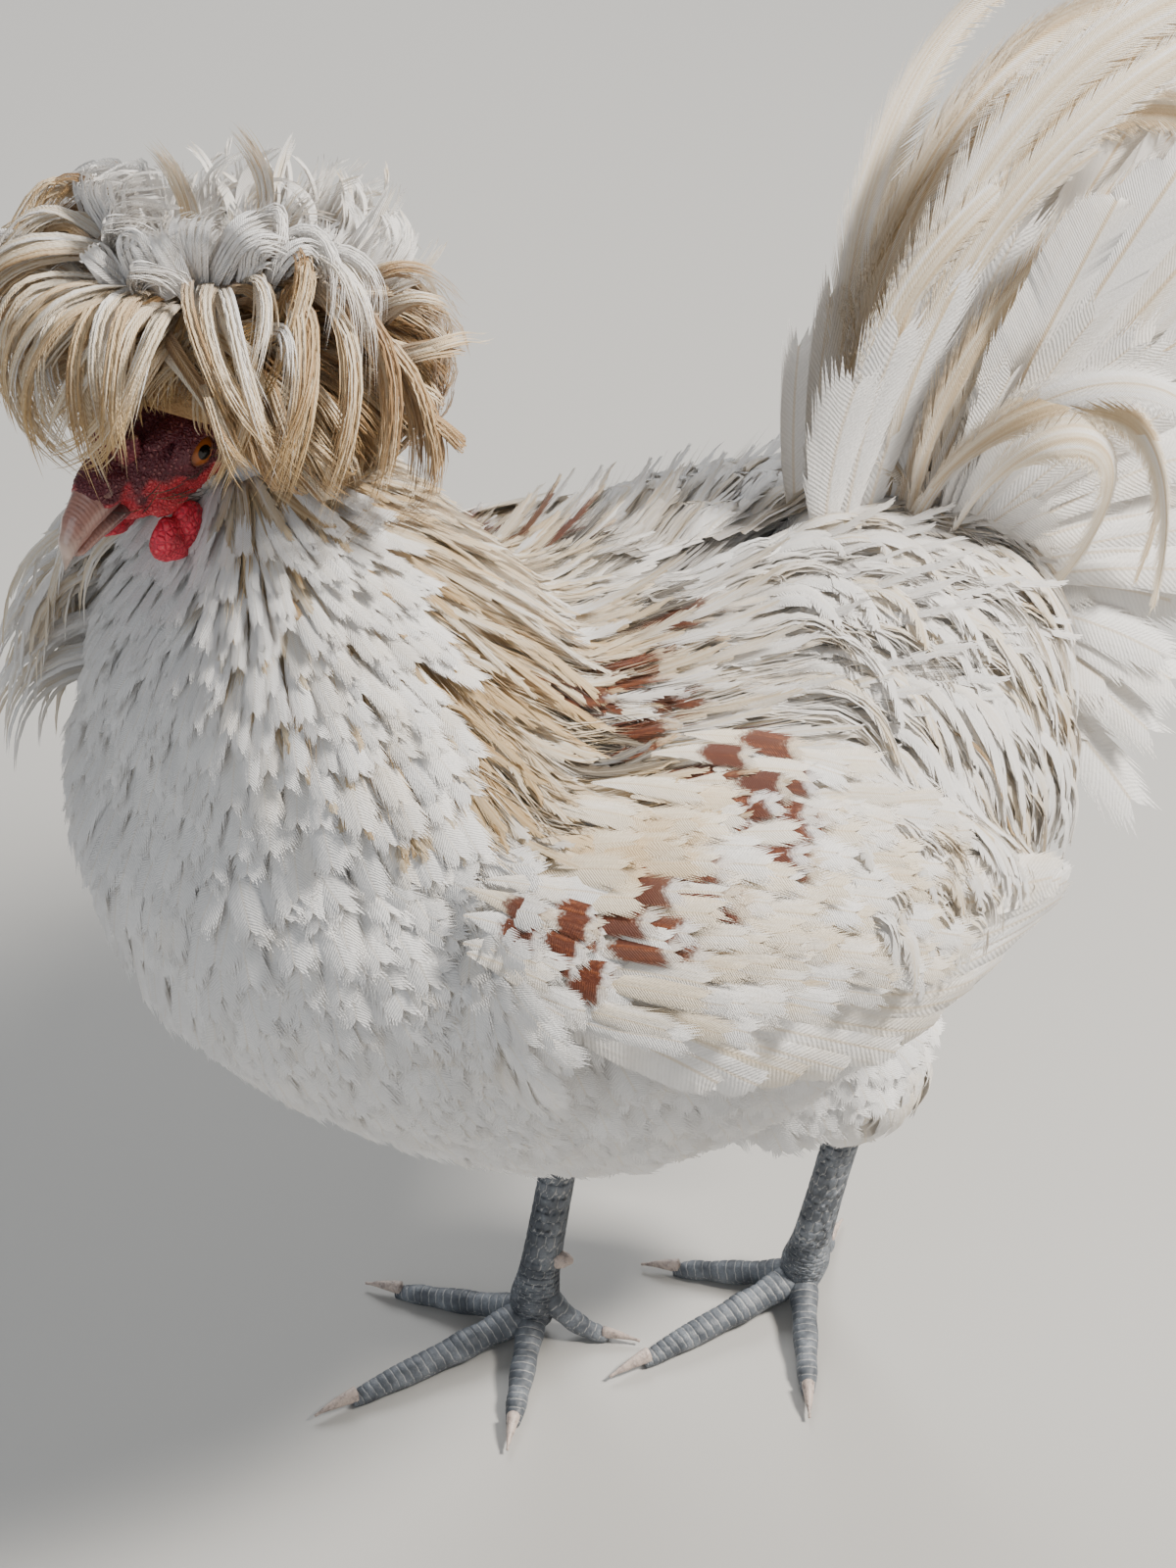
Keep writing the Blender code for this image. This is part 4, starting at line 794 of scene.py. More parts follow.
chance = random.Random(21).uniform
breast, belly = Coat("feathers_breast", BODY_PATTERNS), Coat("feathers_belly", BODY_PATTERNS)
for first_x, last_x, step_x, first_turn, last_turn, spacing, length, width, lift, flow in BODY_ROWS:
    x = first_x
    while x < last_x:
        _, _, half_width, _, reach_down = between(TRUNK, x)
        arc = radians(last_turn - first_turn) * (half_width + reach_down) / 2
        number = max(2, int(arc / spacing))
        for side, around in scattered(chance, first_turn, last_turn, number):
            place = x + chance(-0.5, 0.5) * step_x
            start = trunk_spot(place, around, side)
            reach = length * chance(0.85, 1.15) * (1 - 0.35 * smooth_step(x, 0.05, 0.1))
            swept = flow.lerp(xyz(1.0, 0, -0.45), smooth_step(x, 0.03, 0.09))
            loose = 1 + 1.1 * smooth_step(60 - around, 0, 40) * smooth_step(x, -0.1, -0.04)
            raised = lift * loose * chance(0.75, 1.25)
            lie = laid(TRUNK_TREE, start, swept, reach, 4, 0.011, raised, chance, 0.08)
            marks = (chance(0.0, 0.12), chance(0.3, 1.0))
            coat = breast if first_x < -0.02 else belly
            coat.plant(*lie, width * chance(0.85, 1.15), marks, trunk_patch(place, around, side))
        x += step_x
settle(breast.piece(body_plume), "white_plumage")
settle(belly.piece(body_plume), "white_plumage")


# Thigh fluff: short loose feathers that hang round the top of each leg and close the gap below the belly.
FLUFF_ROWS = 8
FLUFF_SPACING = 0.0058
FLUFF_LENGTH = 0.027
FLUFF_WIDTH = 0.012

chance = random.Random(22).uniform
fluff = Coat("feathers_thighs", BODY_PATTERNS)
for leg, (side, foot, hock, knee) in LEGS.items():
    for row in range(FLUFF_ROWS):
        share = 0.26 + 0.68 * row / (FLUFF_ROWS - 1)
        _, width, depth = between(THIGH, share)
        number = int(pi * (width + depth) / FLUFF_SPACING)
        for index in range(number):
            turn = 2 * pi * (index + chance(0, 1)) / number
            out = xyz(cos(turn), sin(turn), 0)
            root = hock.lerp(knee, share) + xyz(out.x * depth, out.y * width, 0) * 0.66
            reach = FLUFF_LENGTH * chance(0.8, 1.2)
            fall = ((hock - knee).normalized() * 0.5 - UP).normalized()
            spine, facings = [], []
            for step in range(5):
                part = step / 4
                puff = 0.004 + 0.007 * sin(pi * min(1.0, part * 0.9)) - 0.003 * part
                spine.append(root + fall * reach * part + out * puff * (1.0 if share > 0.3 else 0.7))
                facings.append(out)
            lie = spine, facings
            marks = (chance(0.05, 0.3), chance(0.5, 1.0))
            patch = (0.02 + 0.96 * share, 0.25 + 0.5 * (side > 0) + 0.22 * (turn / pi - 1))
            fluff.plant(*lie, FLUFF_WIDTH * chance(0.85, 1.15), marks, patch)
settle(fluff.piece(body_plume), "white_plumage")


# Neck hackles: long narrow pointed feathers that fall from the head over the shoulders, straw and buff
# at the sides, white at the throat and cream down the nape.
def neck_spot(share, around, side):
    """A point of the cape's outline: share of the way up, around from 0 at the throat to 180 at the nape."""
    place = share * (len(NECK) - 1)
    index = min(int(place), len(NECK) - 2)
    (low, low_width, low_depth), (high, high_width, high_depth) = NECK[index], NECK[index + 1]
    part = place - index
    width = low_width + (high_width - low_width) * part
    depth = low_depth + (high_depth - low_depth) * part
    along = (high - low).normalized()
    ahead = along.cross(ACROSS)
    turn = radians(around)
    out = xyz(0, side * width * sin(turn), 0)
    return low.lerp(high, part) + ahead * depth * cos(turn) + out


hackle_plume = plume_finish("hackle_feather", 80.0, 1.35, 0.3, 0.18)
LANCE = (0.25, 0.62, 0.88, 1.0, 0.98, 0.88, 0.72, 0.5, 0.24)
HACKLE_PATTERNS = [Pattern(15, LANCE, 0.16, 0.45, 0.6, seed, 0.14, 0.06, (2, 4)) for seed in range(6, 9)]
HACKLE_PATTERNS += [Tress(6, 7, seed, 0.8, 0.2, 0.15) for seed in range(9, 14)]
HACKLE_FINENESS = 0.66
HACKLE_SHORTEST = 0.012
# Rows of hackles: share of the way up the neck, spacing round it, length, width and lift of the tip.
HACKLE_ROWS = (
    (1.00, 0.0026, 0.022, 0.0055, 0.002),
    (0.96, 0.0026, 0.026, 0.0055, 0.002),
    (0.91, 0.0027, 0.034, 0.006, 0.002),
    (0.86, 0.0028, 0.042, 0.0062, 0.0022),
    (0.81, 0.003, 0.048, 0.0064, 0.0022),
    (0.76, 0.0031, 0.054, 0.0066, 0.0022),
    (0.71, 0.0032, 0.06, 0.0068, 0.0024),
    (0.66, 0.0034, 0.064, 0.007, 0.0024),
    (0.6, 0.0036, 0.068, 0.0072, 0.0026),
    (0.54, 0.0038, 0.071, 0.0074, 0.0026),
    (0.48, 0.004, 0.073, 0.0076, 0.0028),
    (0.42, 0.0042, 0.073, 0.0078, 0.0028),
    (0.36, 0.0044, 0.071, 0.008, 0.003),
    (0.3, 0.0046, 0.066, 0.0082, 0.003),
    (0.24, 0.005, 0.06, 0.0084, 0.003),
)
THROAT_FLOW = xyz(-0.1, 0.0, -1.0)
SIDE_FLOW = xyz(0.42, 0.0, -1.0)
NAPE_FLOW = xyz(1.0, 0.0, -0.55)

# How low the hackles hang: place along the bird and height of their lowest tips.
CAPE_EDGE = (
    (-0.16, 0.334), (-0.138, 0.324), (-0.128, 0.309), (-0.114, 0.29), (-0.07, 0.288), (-0.018, 0.296),
    (0.03, 0.296),
)
RUFFLE_COUNT = 190
RUFFLE_WIDTH = 0.0078


def curve_point(guides, share):
    """A point of the smooth curve that four guide points draw."""
    left = 1 - share
    weights = (left**3, 3 * share * left**2, 3 * share**2 * left, share**3)
    return sum((point * weight for point, weight in zip(guides, weights)), Vector())


def curved(points, steps):
    return [curve_point(points, step / steps) for step in range(steps + 1)]


def cape_patch(high, around, side):
    """A place on the cape unrolled, from the left of the nape round the throat to the right."""
    return (0.02 + 0.96 * high, 0.5 + side * 0.48 * around / 180)


chance = random.Random(5).uniform
hackles = Coat("feathers_neck", HACKLE_PATTERNS)
for share, spacing, length, width, lift in HACKLE_ROWS:
    _, half_width, half_depth = NECK[min(int(share * 5), 4)]
    number = max(5, int(pi * (half_width + half_depth) / 2 / (spacing * HACKLE_FINENESS)))
    for side, around in scattered(chance, 0, 178, number):
        if around < 40 and share < 0.86:
            continue
        high = min(1.0, max(0.0, share + chance(-0.03, 0.03)))
        start = neck_spot(high, around, side)
        flank, nape = smooth_step(around, 20, 75), smooth_step(around, 95, 165)
        flow = THROAT_FLOW.lerp(SIDE_FLOW, flank).lerp(NAPE_FLOW, nape)
        fuller = 1 + 0.12 * smooth_step(around, 70, 100) - 0.2 * nape
        reach = length * (0.36 + 0.64 * flank) * fuller * chance(0.85, 1.15)
        raised = lift * chance(0.6, 1.3)
        floor_at = chance(-0.005, 0.004)
        seed = chance(0, 1)
        while reach > HACKLE_SHORTEST:
            lie = laid(DRAPE_TREE, start, flow, reach, 6, 0.009, raised, random.Random(seed).uniform, 0.22)
            tip = lie[0][-1]
            if tip.z > between(CAPE_EDGE, tip.x)[1] + floor_at:
                break
            reach *= 0.88
        if reach <= HACKLE_SHORTEST:
            continue
        low = 0.35 + 0.65 * smooth_step(share, 0.28, 0.56)
        tone = 0.05 + 0.72 * smooth_step(around, 30, 60) * (1 - 0.5 * nape) * low
        marks = (max(0.0, tone * chance(0.45, 1.25)), chance(0.65, 1.0))
        full = width * HACKLE_FINENESS * (0.66 + 0.36 * flank) * chance(0.8, 1.3)
        hackles.plant(*lie, full, marks, cape_patch(high, around, side))
# On the far side the cape is ruffled: long hackles stand off the neck and droop.
for index in range(RUFFLE_COUNT):
    share, around = chance(0.36, 0.86), chance(28, 100)
    root = neck_spot(share, around, 1)
    out = (root - xyz(-0.1, 0.0, root.z)).normalized()
    reach = chance(0.03, 0.05)
    far = out * chance(0.45, 0.85)
    guides = (root - out * 0.008, root + far * reach * 0.55, root + far * reach * 0.95 - UP * reach * 0.35,
              root + far * reach - UP * reach * 0.85)
    facing = (UP * 0.8 + xyz(-0.7, 0.1, 0) + out * 0.3).normalized()
    marks = (chance(0.0, 0.35), chance(0.6, 1.0))
    hackles.plant(curved(guides, 6), [facing] * 7, RUFFLE_WIDTH, marks, cape_patch(share, around, 1))
# Warm patches on back and wings: place on the plumage, how far each reaches and how buff it is.
TAN_PATCHES = (
    (-0.052, -0.08, 0.285, 0.015, 0.62),
    (-0.028, -0.07, 0.288, 0.014, 0.55),
    (-0.008, -0.03, 0.3, 0.012, 0.5),
    (0.04, -0.085, 0.225, 0.016, 0.35),
    (0.075, -0.07, 0.205, 0.016, 0.4),
)
# Chestnut and sooty stains there: place, reach, how rusty and how sooty.
STAINS = (
    (0.0043, -0.015, 0.3002, 0.0049, 0.0, 0.9),
    (0.0058, -0.0256, 0.2981, 0.0065, 1.0, 0.0),
    (-0.018, -0.0384, 0.2973, 0.0057, 0.9, 0.0),
    (-0.0368, -0.0462, 0.2966, 0.0057, 0.6, 0.1),
    (-0.013, -0.0492, 0.2923, 0.0057, 0.9, 0.0),
    (-0.0264, -0.0557, 0.2906, 0.0057, 0.8, 0.0),
    (-0.0405, -0.061, 0.2908, 0.0057, 0.0, 0.8),
    (0.0042, -0.0659, 0.2801, 0.0057, 1.0, 0.0),
    (-0.0122, -0.0707, 0.2828, 0.0049, 0.8, 0.0),
    (-0.0172, -0.0822, 0.2797, 0.0065, 1.0, 0.0),
    (-0.0043, -0.0813, 0.2774, 0.0057, 1.0, 0.1),
    (-0.0057, -0.0877, 0.2736, 0.0049, 1.0, 0.0),
    (-0.0146, -0.0953, 0.2689, 0.0049, 0.8, 0.0),
    (-0.0327, -0.0926, 0.2745, 0.0049, 0.6, 0.0),
    (-0.0584, -0.0938, 0.2747, 0.0049, 1.0, 0.0),
    (-0.0506, -0.095, 0.2732, 0.0049, 0.9, 0.0),
    (-0.0349, -0.1002, 0.267, 0.0049, 0.6, 0.0),
    (-0.0882, -0.0894, 0.2761, 0.0049, 0.8, 0.0),
    (-0.0783, -0.0944, 0.2734, 0.0049, 1.0, 0.0),
    (-0.0686, -0.0966, 0.2717, 0.0057, 1.0, 0.0),
    (-0.0431, -0.1027, 0.2641, 0.0049, 0.7, 0.0),
    (-0.0673, -0.1018, 0.2646, 0.0049, 1.0, 0.0),
    (-0.0546, -0.1042, 0.2617, 0.0049, 1.0, 0.0),
    (-0.0807, -0.101, 0.2638, 0.0049, 1.0, 0.0),
    (-0.0727, -0.1031, 0.2618, 0.0049, 0.9, 0.0),
)
hackles.stain()
settle(hackles.piece(hackle_plume), "buff_plumage")

# Below the throat, rounded white feathers run on from the neck to the breast.
BIB_ROWS = 21
BIB_WIDTH = 0.0112
BIB_LIFT = 0.0032
chance = random.Random(6).uniform
bib = Coat("feathers_bib", BODY_PATTERNS)
for row in range(BIB_ROWS):
    share, length = 0.05 + 0.046 * row, 0.027 + 0.003 * min(row, 2) - 0.0011 * max(0, row - 6)
    _, half_width, half_depth = NECK[min(int(share * 5), 4)]
    slim = smooth_step(share, 0.3, 0.9)
    last = 86 + 30 * slim
    number = int(radians(last) * (half_width + half_depth) / 2 / (0.0056 - 0.0026 * slim))
    for side, around in scattered(chance, 0, last, number):
        high = min(1.0, max(0.0, share + chance(-0.02, 0.02)))
        start = neck_spot(high, around, side)
        flow = THROAT_FLOW.lerp(SIDE_FLOW, smooth_step(around, 20, 75))
        reach = length * chance(0.88, 1.12)
        lie = laid(DRAPE_TREE, start, flow, reach, 4, 0.009, BIB_LIFT * chance(0.6, 1.4), chance, 0.08)
        marks = (chance(0.0, 0.2) * smooth_step(around, 10, 60), chance(0.35, 1.0))
        width = (BIB_WIDTH - 0.0066 * slim) * chance(0.88, 1.12)
        bib.plant(*lie, width, marks, cape_patch(high, around, side))
# They also close over the bend of each folded wing: places along it and heights on the flank.
COLLAR_ALONG = (-0.13, -0.098, 0.0055)
COLLAR_UP = (0.196, 0.3, 0.0066)
COLLAR_LENGTH = 0.027
COLLAR_LIFT = 0.004
COLLAR_FLOW = xyz(0.8, 0, -0.6)
x, last_x, step_x = COLLAR_ALONG
while x < last_x:
    z, last_z, step_z = COLLAR_UP
    while z < last_z:
        for side in (-1, 1):
            high = z + chance(-0.5, 0.5) * step_z
            start = flank_spot(x + chance(-0.5, 0.5) * step_x, high, side, 0.012)
            reach = COLLAR_LENGTH * chance(0.88, 1.12)
            raised = COLLAR_LIFT * chance(0.6, 1.4)
            lie = laid(DRAPE_TREE, start, COLLAR_FLOW, reach, 4, 0.01, raised, chance, 0.08)
            marks = (chance(0.0, 0.16), chance(0.4, 1.0))
            patch = (0.04 + 0.5 * (x + 0.13) / 0.05, 0.5 + side * 0.4 * (z - 0.19) / 0.11)
            bib.plant(*lie, BIB_WIDTH * chance(0.88, 1.12), marks, patch)
        z += step_z
    x += step_x
settle(bib.piece(body_plume), "white_plumage")


# Back and saddle: frizzled cream feathers along the ridge, then long narrow saddle hackles that leave
# the back and bend down over the rump and the ends of the wings in parallel bows.
BACKWARD = xyz(1.0, 0.0, -0.1)
SADDLE_PATTERNS = [Pattern(16, LANCE, 0.16, 0.5, 0.6, seed, 0.14, 0.08, (2, 4)) for seed in range(50, 54)]
SADDLE_PATTERNS += [Tress(6, 8, seed, 0.8, 0.24, 0.15) for seed in range(54, 57)]
BACK_ROWS = 20
BACK_WIDTH = 0.006
BACK_LIFT = 0.0025
FRIZZ = 0.0065
SADDLE_ROWS = 15
SADDLE_COUNT = 42
SADDLE_SHORTEST = 0.02
SADDLE_WIDTH = 0.0078
SADDLE_STEPS = 9
SHAFT_WIDTH = 0.001
# How low the saddle hackles hang: place along the bird and height of their lowest tips.
SADDLE_EDGE = (
    (-0.02, 0.276), (0.000, 0.266), (0.03, 0.25), (0.07, 0.226), (0.11, 0.206), (0.15, 0.196),
    (0.2, 0.196),
)


def arched(start, yaw, rise, fall, length, clear, chance):
    """A feather that leaves the back rising, bends over and hangs, clear of what it passes over.

    Yaw turns it outwards from straight back, rise and fall are its slopes at root and tip, in degrees.
    """
    spine, facings = [], []
    spot = start
    lean = chance(-0.14, 0.14)
    for step in range(SADDLE_STEPS + 1):
        share = step / SADDLE_STEPS
        slope = radians(rise + (-fall - rise) * smooth_step(share, -0.3, 0.9))
        level = xyz(cos(yaw), sin(yaw), 0)
        place, normal, _, _ = DRAPE_TREE.find_nearest(spot)
        height = clear * min(1.0, share * 2.2) - 0.008 * (1 - min(1.0, share * 3))
        over = (spot - place).dot(normal)
        if over < height:
            spot = place + normal * height
        spine.append(spot.copy())
        way = level * cos(slope) + UP * sin(slope)
        out = level * -sin(slope) + UP * cos(slope)
        beside = way.cross(out)
        facings.append((normal * 0.95 + out * 0.3 + beside * lean).normalized())
        spot = spot + way * length / SADDLE_STEPS
    return spine, facings


chance = random.Random(9).uniform
back = Coat("feathers_back", HACKLE_PATTERNS)
for row in range(BACK_ROWS):
    first, number = (98, 34) if row < 11 else (118, 26)
    frizz, tone = FRIZZ * min(1.0, (row + 1) / 5), max(0.04, 0.3 - 0.02 * row)
    for side, around in scattered(chance, first, 178, number):
        along = -0.078 + 0.0078 * row + chance(-0.006, 0.006)
        start = trunk_spot(along, around, side)
        reach = (0.046 + 0.001 * min(row, 8)) * chance(0.82, 1.15)
        curl = frizz * smooth_step(around, 120, 165) * chance(0.4, 2.2)
        flow = BACKWARD + xyz(0, side * 0.25, 0)
        raised = BACK_LIFT * chance(0.5, 1.5)
        lie = laid(DRAPE_TREE, start, flow, reach, 7, 0.01, raised, chance, 0.08, curl, FIRM)
        marks = (max(0.0, tone * chance(0.2, 2.0)), chance(0.7, 1.0))
        back.plant(*lie, BACK_WIDTH * chance(0.85, 1.15), marks, trunk_patch(along, around, side))
back.stain()
settle(back.piece(hackle_plume), "white_plumage")
saddle = Coat("feathers_saddle", SADDLE_PATTERNS)
for row in range(SADDLE_ROWS):
    length = 0.066 + 0.022 * sin(pi * (row + 3) / 17) - 0.0014 * row
    steep = 8 + 26 * sin(pi * row / 15)
    for side, around in scattered(chance, 98 - 0.4 * row, 178, SADDLE_COUNT):
        along = 0.002 + 0.0072 * row + chance(-0.006, 0.006)
        start = trunk_spot(along, around, side)
        ridge = smooth_step(around, 105, 170)
        yaw = side * radians(chance(5, 11) + 15 * (1 - ridge))
        climb = steep * ridge * chance(0.75, 1.2) - 14 * (1 - ridge)
        fall = chance(94, 108)
        reach = length * chance(0.82, 1.12) * (0.8 + 0.2 * ridge)
        clear = chance(0.001, 0.006) + 0.003 * ridge
        edge = chance(-0.006, 0.006)
        seed = chance(0, 1)
        patch = trunk_patch(along, around, side)
        while reach > SADDLE_SHORTEST:
            lie = arched(start, yaw, climb, fall, reach, clear, random.Random(seed).uniform)
            tip = lie[0][-1]
            if tip.z > between(SADDLE_EDGE, tip.x)[1] + edge:
                break
            reach *= 0.9
        marks = (max(0.0, (0.12 + 0.004 * row) * chance(-0.3, 2.2)), chance(0.7, 1.0))
        saddle.plant(*lie, SADDLE_WIDTH * chance(0.8, 1.2), marks, patch)
        if side < 0 and around < 150 and chance(0, 1) < 0.05:
            lie = arched(start, yaw, climb, fall, reach, clear + 0.0015, random.Random(seed).uniform)
            saddle.plant(*lie, SHAFT_WIDTH, (0.9, 0.7), patch)
saddle.stain()
settle(saddle.piece(hackle_plume), "white_plumage")


# Folded wings: small rounded coverts in rows from the shoulder down, larger ones below, and stiff flight
# feathers folded over one another underneath. Some coverts of the near wing are tipped with chestnut.
WING_PLATE_OUT = 0.005
LAYER = 0.0011
WING_BEND = 0.045
WING_TAPER = 0.42



def wing_spot(x, z, side, stand):
    """A point beside the trunk; behind its widest part the wing runs on nearly straight."""
    behind = max(0.0, x - WING_BEND)
    spot = flank_spot(min(x, WING_BEND), z, side, stand)
    return Vector((x, spot.y - side * behind * WING_TAPER, z))


def wing_lie(side, x, z, heading, length, steps, out, rise, chance, droop=0.0):
    """Spine and facings of a feather along the wing's outer face, heading in degrees below level."""
    spine, facings = [], []
    turn = radians(heading)
    lean = chance(-0.12, 0.12)
    for step in range(steps + 1):
        share = step / steps
        sag = droop * share**2
        here = xyz(x, 0, z) + xyz(cos(turn), 0, -sin(turn)) * length * share
        stand = WING_STAND_OFF + out + rise * share
        place = wing_spot(here.x, here.z - sag, side, stand)
        ahead = wing_spot(here.x + 0.002, here.z - sag, side, stand) - place
        below = wing_spot(here.x, here.z - sag - 0.002, side, stand) - place
        normal = ahead.cross(below).normalized()
        if normal.y * side < 0:
            normal = -normal
        spine.append(place)
        facings.append((normal + xyz(0, 0, lean)).normalized())
    return spine, facings


def wing_patch(side, x, z):
    return (0.02 + 0.96 * (x + 0.11) / 0.23, 0.5 + side * (0.02 + 0.46 * (z - 0.15) / 0.16))


wing_plume = plume_finish("wing_feather", 46.0, 0.4, 0.0, 0.12, 0.16, 0.5)
BROAD = (0.26, 0.56, 0.78, 0.92, 0.98, 1.0, 1.0, 1.0, 0.98, 0.93, 0.8, 0.56, 0.12)
COVERT_PATTERNS = [Pattern(18, ROUND, 0.32, 0.66, 0.45, seed, 0.2, 0.05, (2, 5)) for seed in range(14, 19)]
FLIGHT_PATTERNS = [Pattern(70, BROAD, 0.16, 0.9, 0.3, seed, 0.14, 0.07, (3, 14)) for seed in range(19, 23)]
# Rows of coverts, topmost first: height above the wing's middle line as a share of its half height, last
# place along it, spacing, length, width and heading.
COVERT_ROWS = (
    (1.1, 0.026, 0.0058, 0.026, 0.0094, 12),
    (0.98, 0.024, 0.0058, 0.027, 0.0096, 13),
    (0.86, 0.02, 0.006, 0.027, 0.0098, 15),
    (0.74, 0.014, 0.006, 0.028, 0.01, 16),
    (0.62, 0.008, 0.0062, 0.028, 0.0102, 18),
    (0.5, 0.002, 0.0062, 0.029, 0.0104, 19),
    (0.38, -0.004, 0.0064, 0.03, 0.0108, 20),
    (0.26, -0.012, 0.0066, 0.031, 0.0112, 21),
)
COVERT_FRONT = -0.106
TOP_LAYER = 10
# Flight feathers, lowest first: root and tip as place along and height.
FLIGHTS = (
    (-0.094, 0.258, -0.048, 0.215),
    (-0.082, 0.254, -0.02, 0.203),
    (-0.062, 0.248, 0.018, 0.194),
    (-0.045, 0.246, 0.058, 0.186),
    (-0.036, 0.25, 0.099, 0.183),
    (-0.03, 0.258, 0.091, 0.201),
    (-0.026, 0.27, 0.078, 0.218),
)
FLIGHT_COUNT = 14
FLIGHT_WIDTH = 0.0185

chance = random.Random(3).uniform
for side, name in ((-1, "left"), (1, "right")):
    flights = Coat(f"flights_{name}", FLIGHT_PATTERNS)
    for index in range(FLIGHT_COUNT):
        root_x, root_z, tip_x, tip_z = row_at(FLIGHTS, index / (FLIGHT_COUNT - 1) * (len(FLIGHTS) - 1))
        length = math.hypot(tip_x - root_x, tip_z - root_z) * 1.04
        heading = math.degrees(math.atan2(root_z - tip_z, tip_x - root_x)) + chance(-1.5, 1.5)
        out = WING_PLATE_OUT + LAYER * 0.4 * index - 0.002
        lie = wing_lie(side, root_x, root_z + 0.003, heading - 4, length, 8, out, 0.003, chance, 0.006)
        marks = (chance(0.0, 0.3), chance(0.75, 1.0))
        flights.plant(*lie, FLIGHT_WIDTH, marks, wing_patch(side, root_x, root_z))
    settle(flights.piece(wing_plume), "white_plumage")
    coverts = Coat(f"coverts_{name}", COVERT_PATTERNS)
    for row, (row_share, last, spacing, length, width, heading) in enumerate(COVERT_ROWS):
        number = int((last - COVERT_FRONT) / spacing)
        for index in range(number):
            x = COVERT_FRONT + spacing * (index + chance(0, 1))
            _, mid, half, thick = between(WING, max(x, WING[0][0]))
            z = mid + half * row_share + chance(-0.0045, 0.0045)
            out = WING_PLATE_OUT + LAYER * (TOP_LAYER - row) * 0.4
            turned = heading + chance(-8, 8)
            reach = length * chance(0.9, 1.1) * (0.58 + 0.42 * smooth_step(x, -0.1, -0.058))
            rise = chance(0.0036, 0.0048)
            lie = wing_lie(side, x, z, turned, reach, 4, out - 0.003, rise, chance, 0.002)
            warm = 0.35 * smooth_step(row_share, 0.2, 0.9) * chance(0, 1)
            marks = (warm + chance(0.0, 0.12), chance(0.45, 1.0))
            coverts.plant(*lie, width * chance(0.8, 1.2), marks, wing_patch(side, x, z))
    coverts.stain()
    settle(coverts.piece(wing_plume), "white_plumage", f"wing_{name}")


# Shoulder feathers: broad soft ones that lie from the back over the tops of the folded wings, under the
# hackles' tips, cream with more of the chestnut stains.
SHOULDER_ROWS = 13
SHOULDER_COUNT = 10
SHOULDER_LENGTH = 0.031
SHOULDER_LIFT = 0.0045
SHOULDER_WIDTH = 0.01

chance = random.Random(13).uniform
shoulders = Coat("feathers_shoulders", COVERT_PATTERNS)
for row in range(SHOULDER_ROWS):
    for side, around in scattered(chance, 96, 132, SHOULDER_COUNT):
        along = -0.084 + 0.0076 * row + chance(-0.004, 0.004)
        start = trunk_spot(along, around, side)
        flow = xyz(1.0, side * 0.3, -0.35)
        reach = SHOULDER_LENGTH * chance(0.88, 1.15)
        raised = SHOULDER_LIFT * chance(0.8, 1.3)
        lie = laid(DRAPE_TREE, start, flow, reach, 5, 0.009, raised, chance, 0.06, 0.0, FIRM)
        marks = (chance(0.05, 0.42), chance(0.6, 1.0))
        width = SHOULDER_WIDTH * chance(0.85, 1.15)
        shoulders.plant(*lie, width, marks, trunk_patch(along, around, side))
shoulders.stain()
settle(shoulders.piece(wing_plume), "white_plumage")


# Tail: broad main feathers in two leaning sheets, with long curved sickles arching over them and short
# soft coverts closing their roots.
def globe(name, centre, size, sides, rows):
    """An egg shape drawn as level rings."""
    rings = []
    for row in range(1, rows):
        turn = pi * row / rows
        reach = size.y * sin(turn)
        level = centre - UP * size.z * cos(turn)
        rings.append(section(level, AHEAD, ACROSS, size.x * sin(turn), reach, reach, sides))
    ball = loft(name, rings, centre - UP * size.z, centre + UP * size.z)
    ball.data.shade_smooth()
    return ball


tail_plume = plume_finish("tail_feather", 120.0, 0.5, 0.0, 0.14, 0.2, 0.8)
sickle_plume = plume_finish("sickle_feather", 150.0, 1.6, 0.0, 0.14, 0.16, 0.7)
SICKLE = (0.35, 0.75, 0.92, 1.0, 1.0, 0.96, 0.88, 0.74, 0.52, 0.25)
FAN_PATTERNS = [Pattern(100, BROAD, 0.13, 0.9, 0.3, seed, 0.12, 0.06, (3, 14)) for seed in range(23, 27)]
SICKLE_PATTERNS = [
    Pattern(150, SICKLE, 0.065, 0.42, 0.45, seed, 0.22, 0.06, (2, 7)) for seed in range(27, 31)
]
MOUND_PLACE = xyz(0.092, 0.0, 0.27)
MOUND_SIZE = xyz(0.032, 0.016, 0.034)
# Main feathers: rise in degrees, length and lean outwards.
FAN = (
    (-14, 0.088, 0.012),
    (4, 0.13, 0.016),
    (18, 0.168, 0.02),
    (31, 0.186, 0.022),
    (44, 0.182, 0.022),
    (57, 0.16, 0.019),
    (71, 0.112, 0.015),
)
FAN_FACING = xyz(0.1, 1.0, 0.25)
# Each sickle by its width and its four guide points; y is outwards from the middle.
SICKLES = (
    (1.0, (0.08, 0.006, 0.3), (0.07, 0.01, 0.4), (0.14, 0.014, 0.462), (0.234, 0.02, 0.402)),
    (1.0, (0.086, 0.01, 0.296), (0.09, 0.018, 0.38), (0.19, 0.03, 0.43), (0.262, 0.03, 0.34)),
    (0.68, (0.086, 0.014, 0.296), (0.092, 0.045, 0.37), (0.16, 0.052, 0.35), (0.156, 0.045, 0.262)),
    (0.8, (0.084, 0.004, 0.302), (0.072, 0.007, 0.34), (0.086, 0.008, 0.38), (0.132, 0.01, 0.414)),
)
SICKLE_FACING = xyz(0.25, 1.0, 0.35)
FAN_WIDTH = 0.036
SICKLE_WIDTH = 0.024
SICKLE_STRAY = 0.009
FRONT_BLADE_WIDTH = 0.022
TAIL_COVERT_WIDTH = 0.019

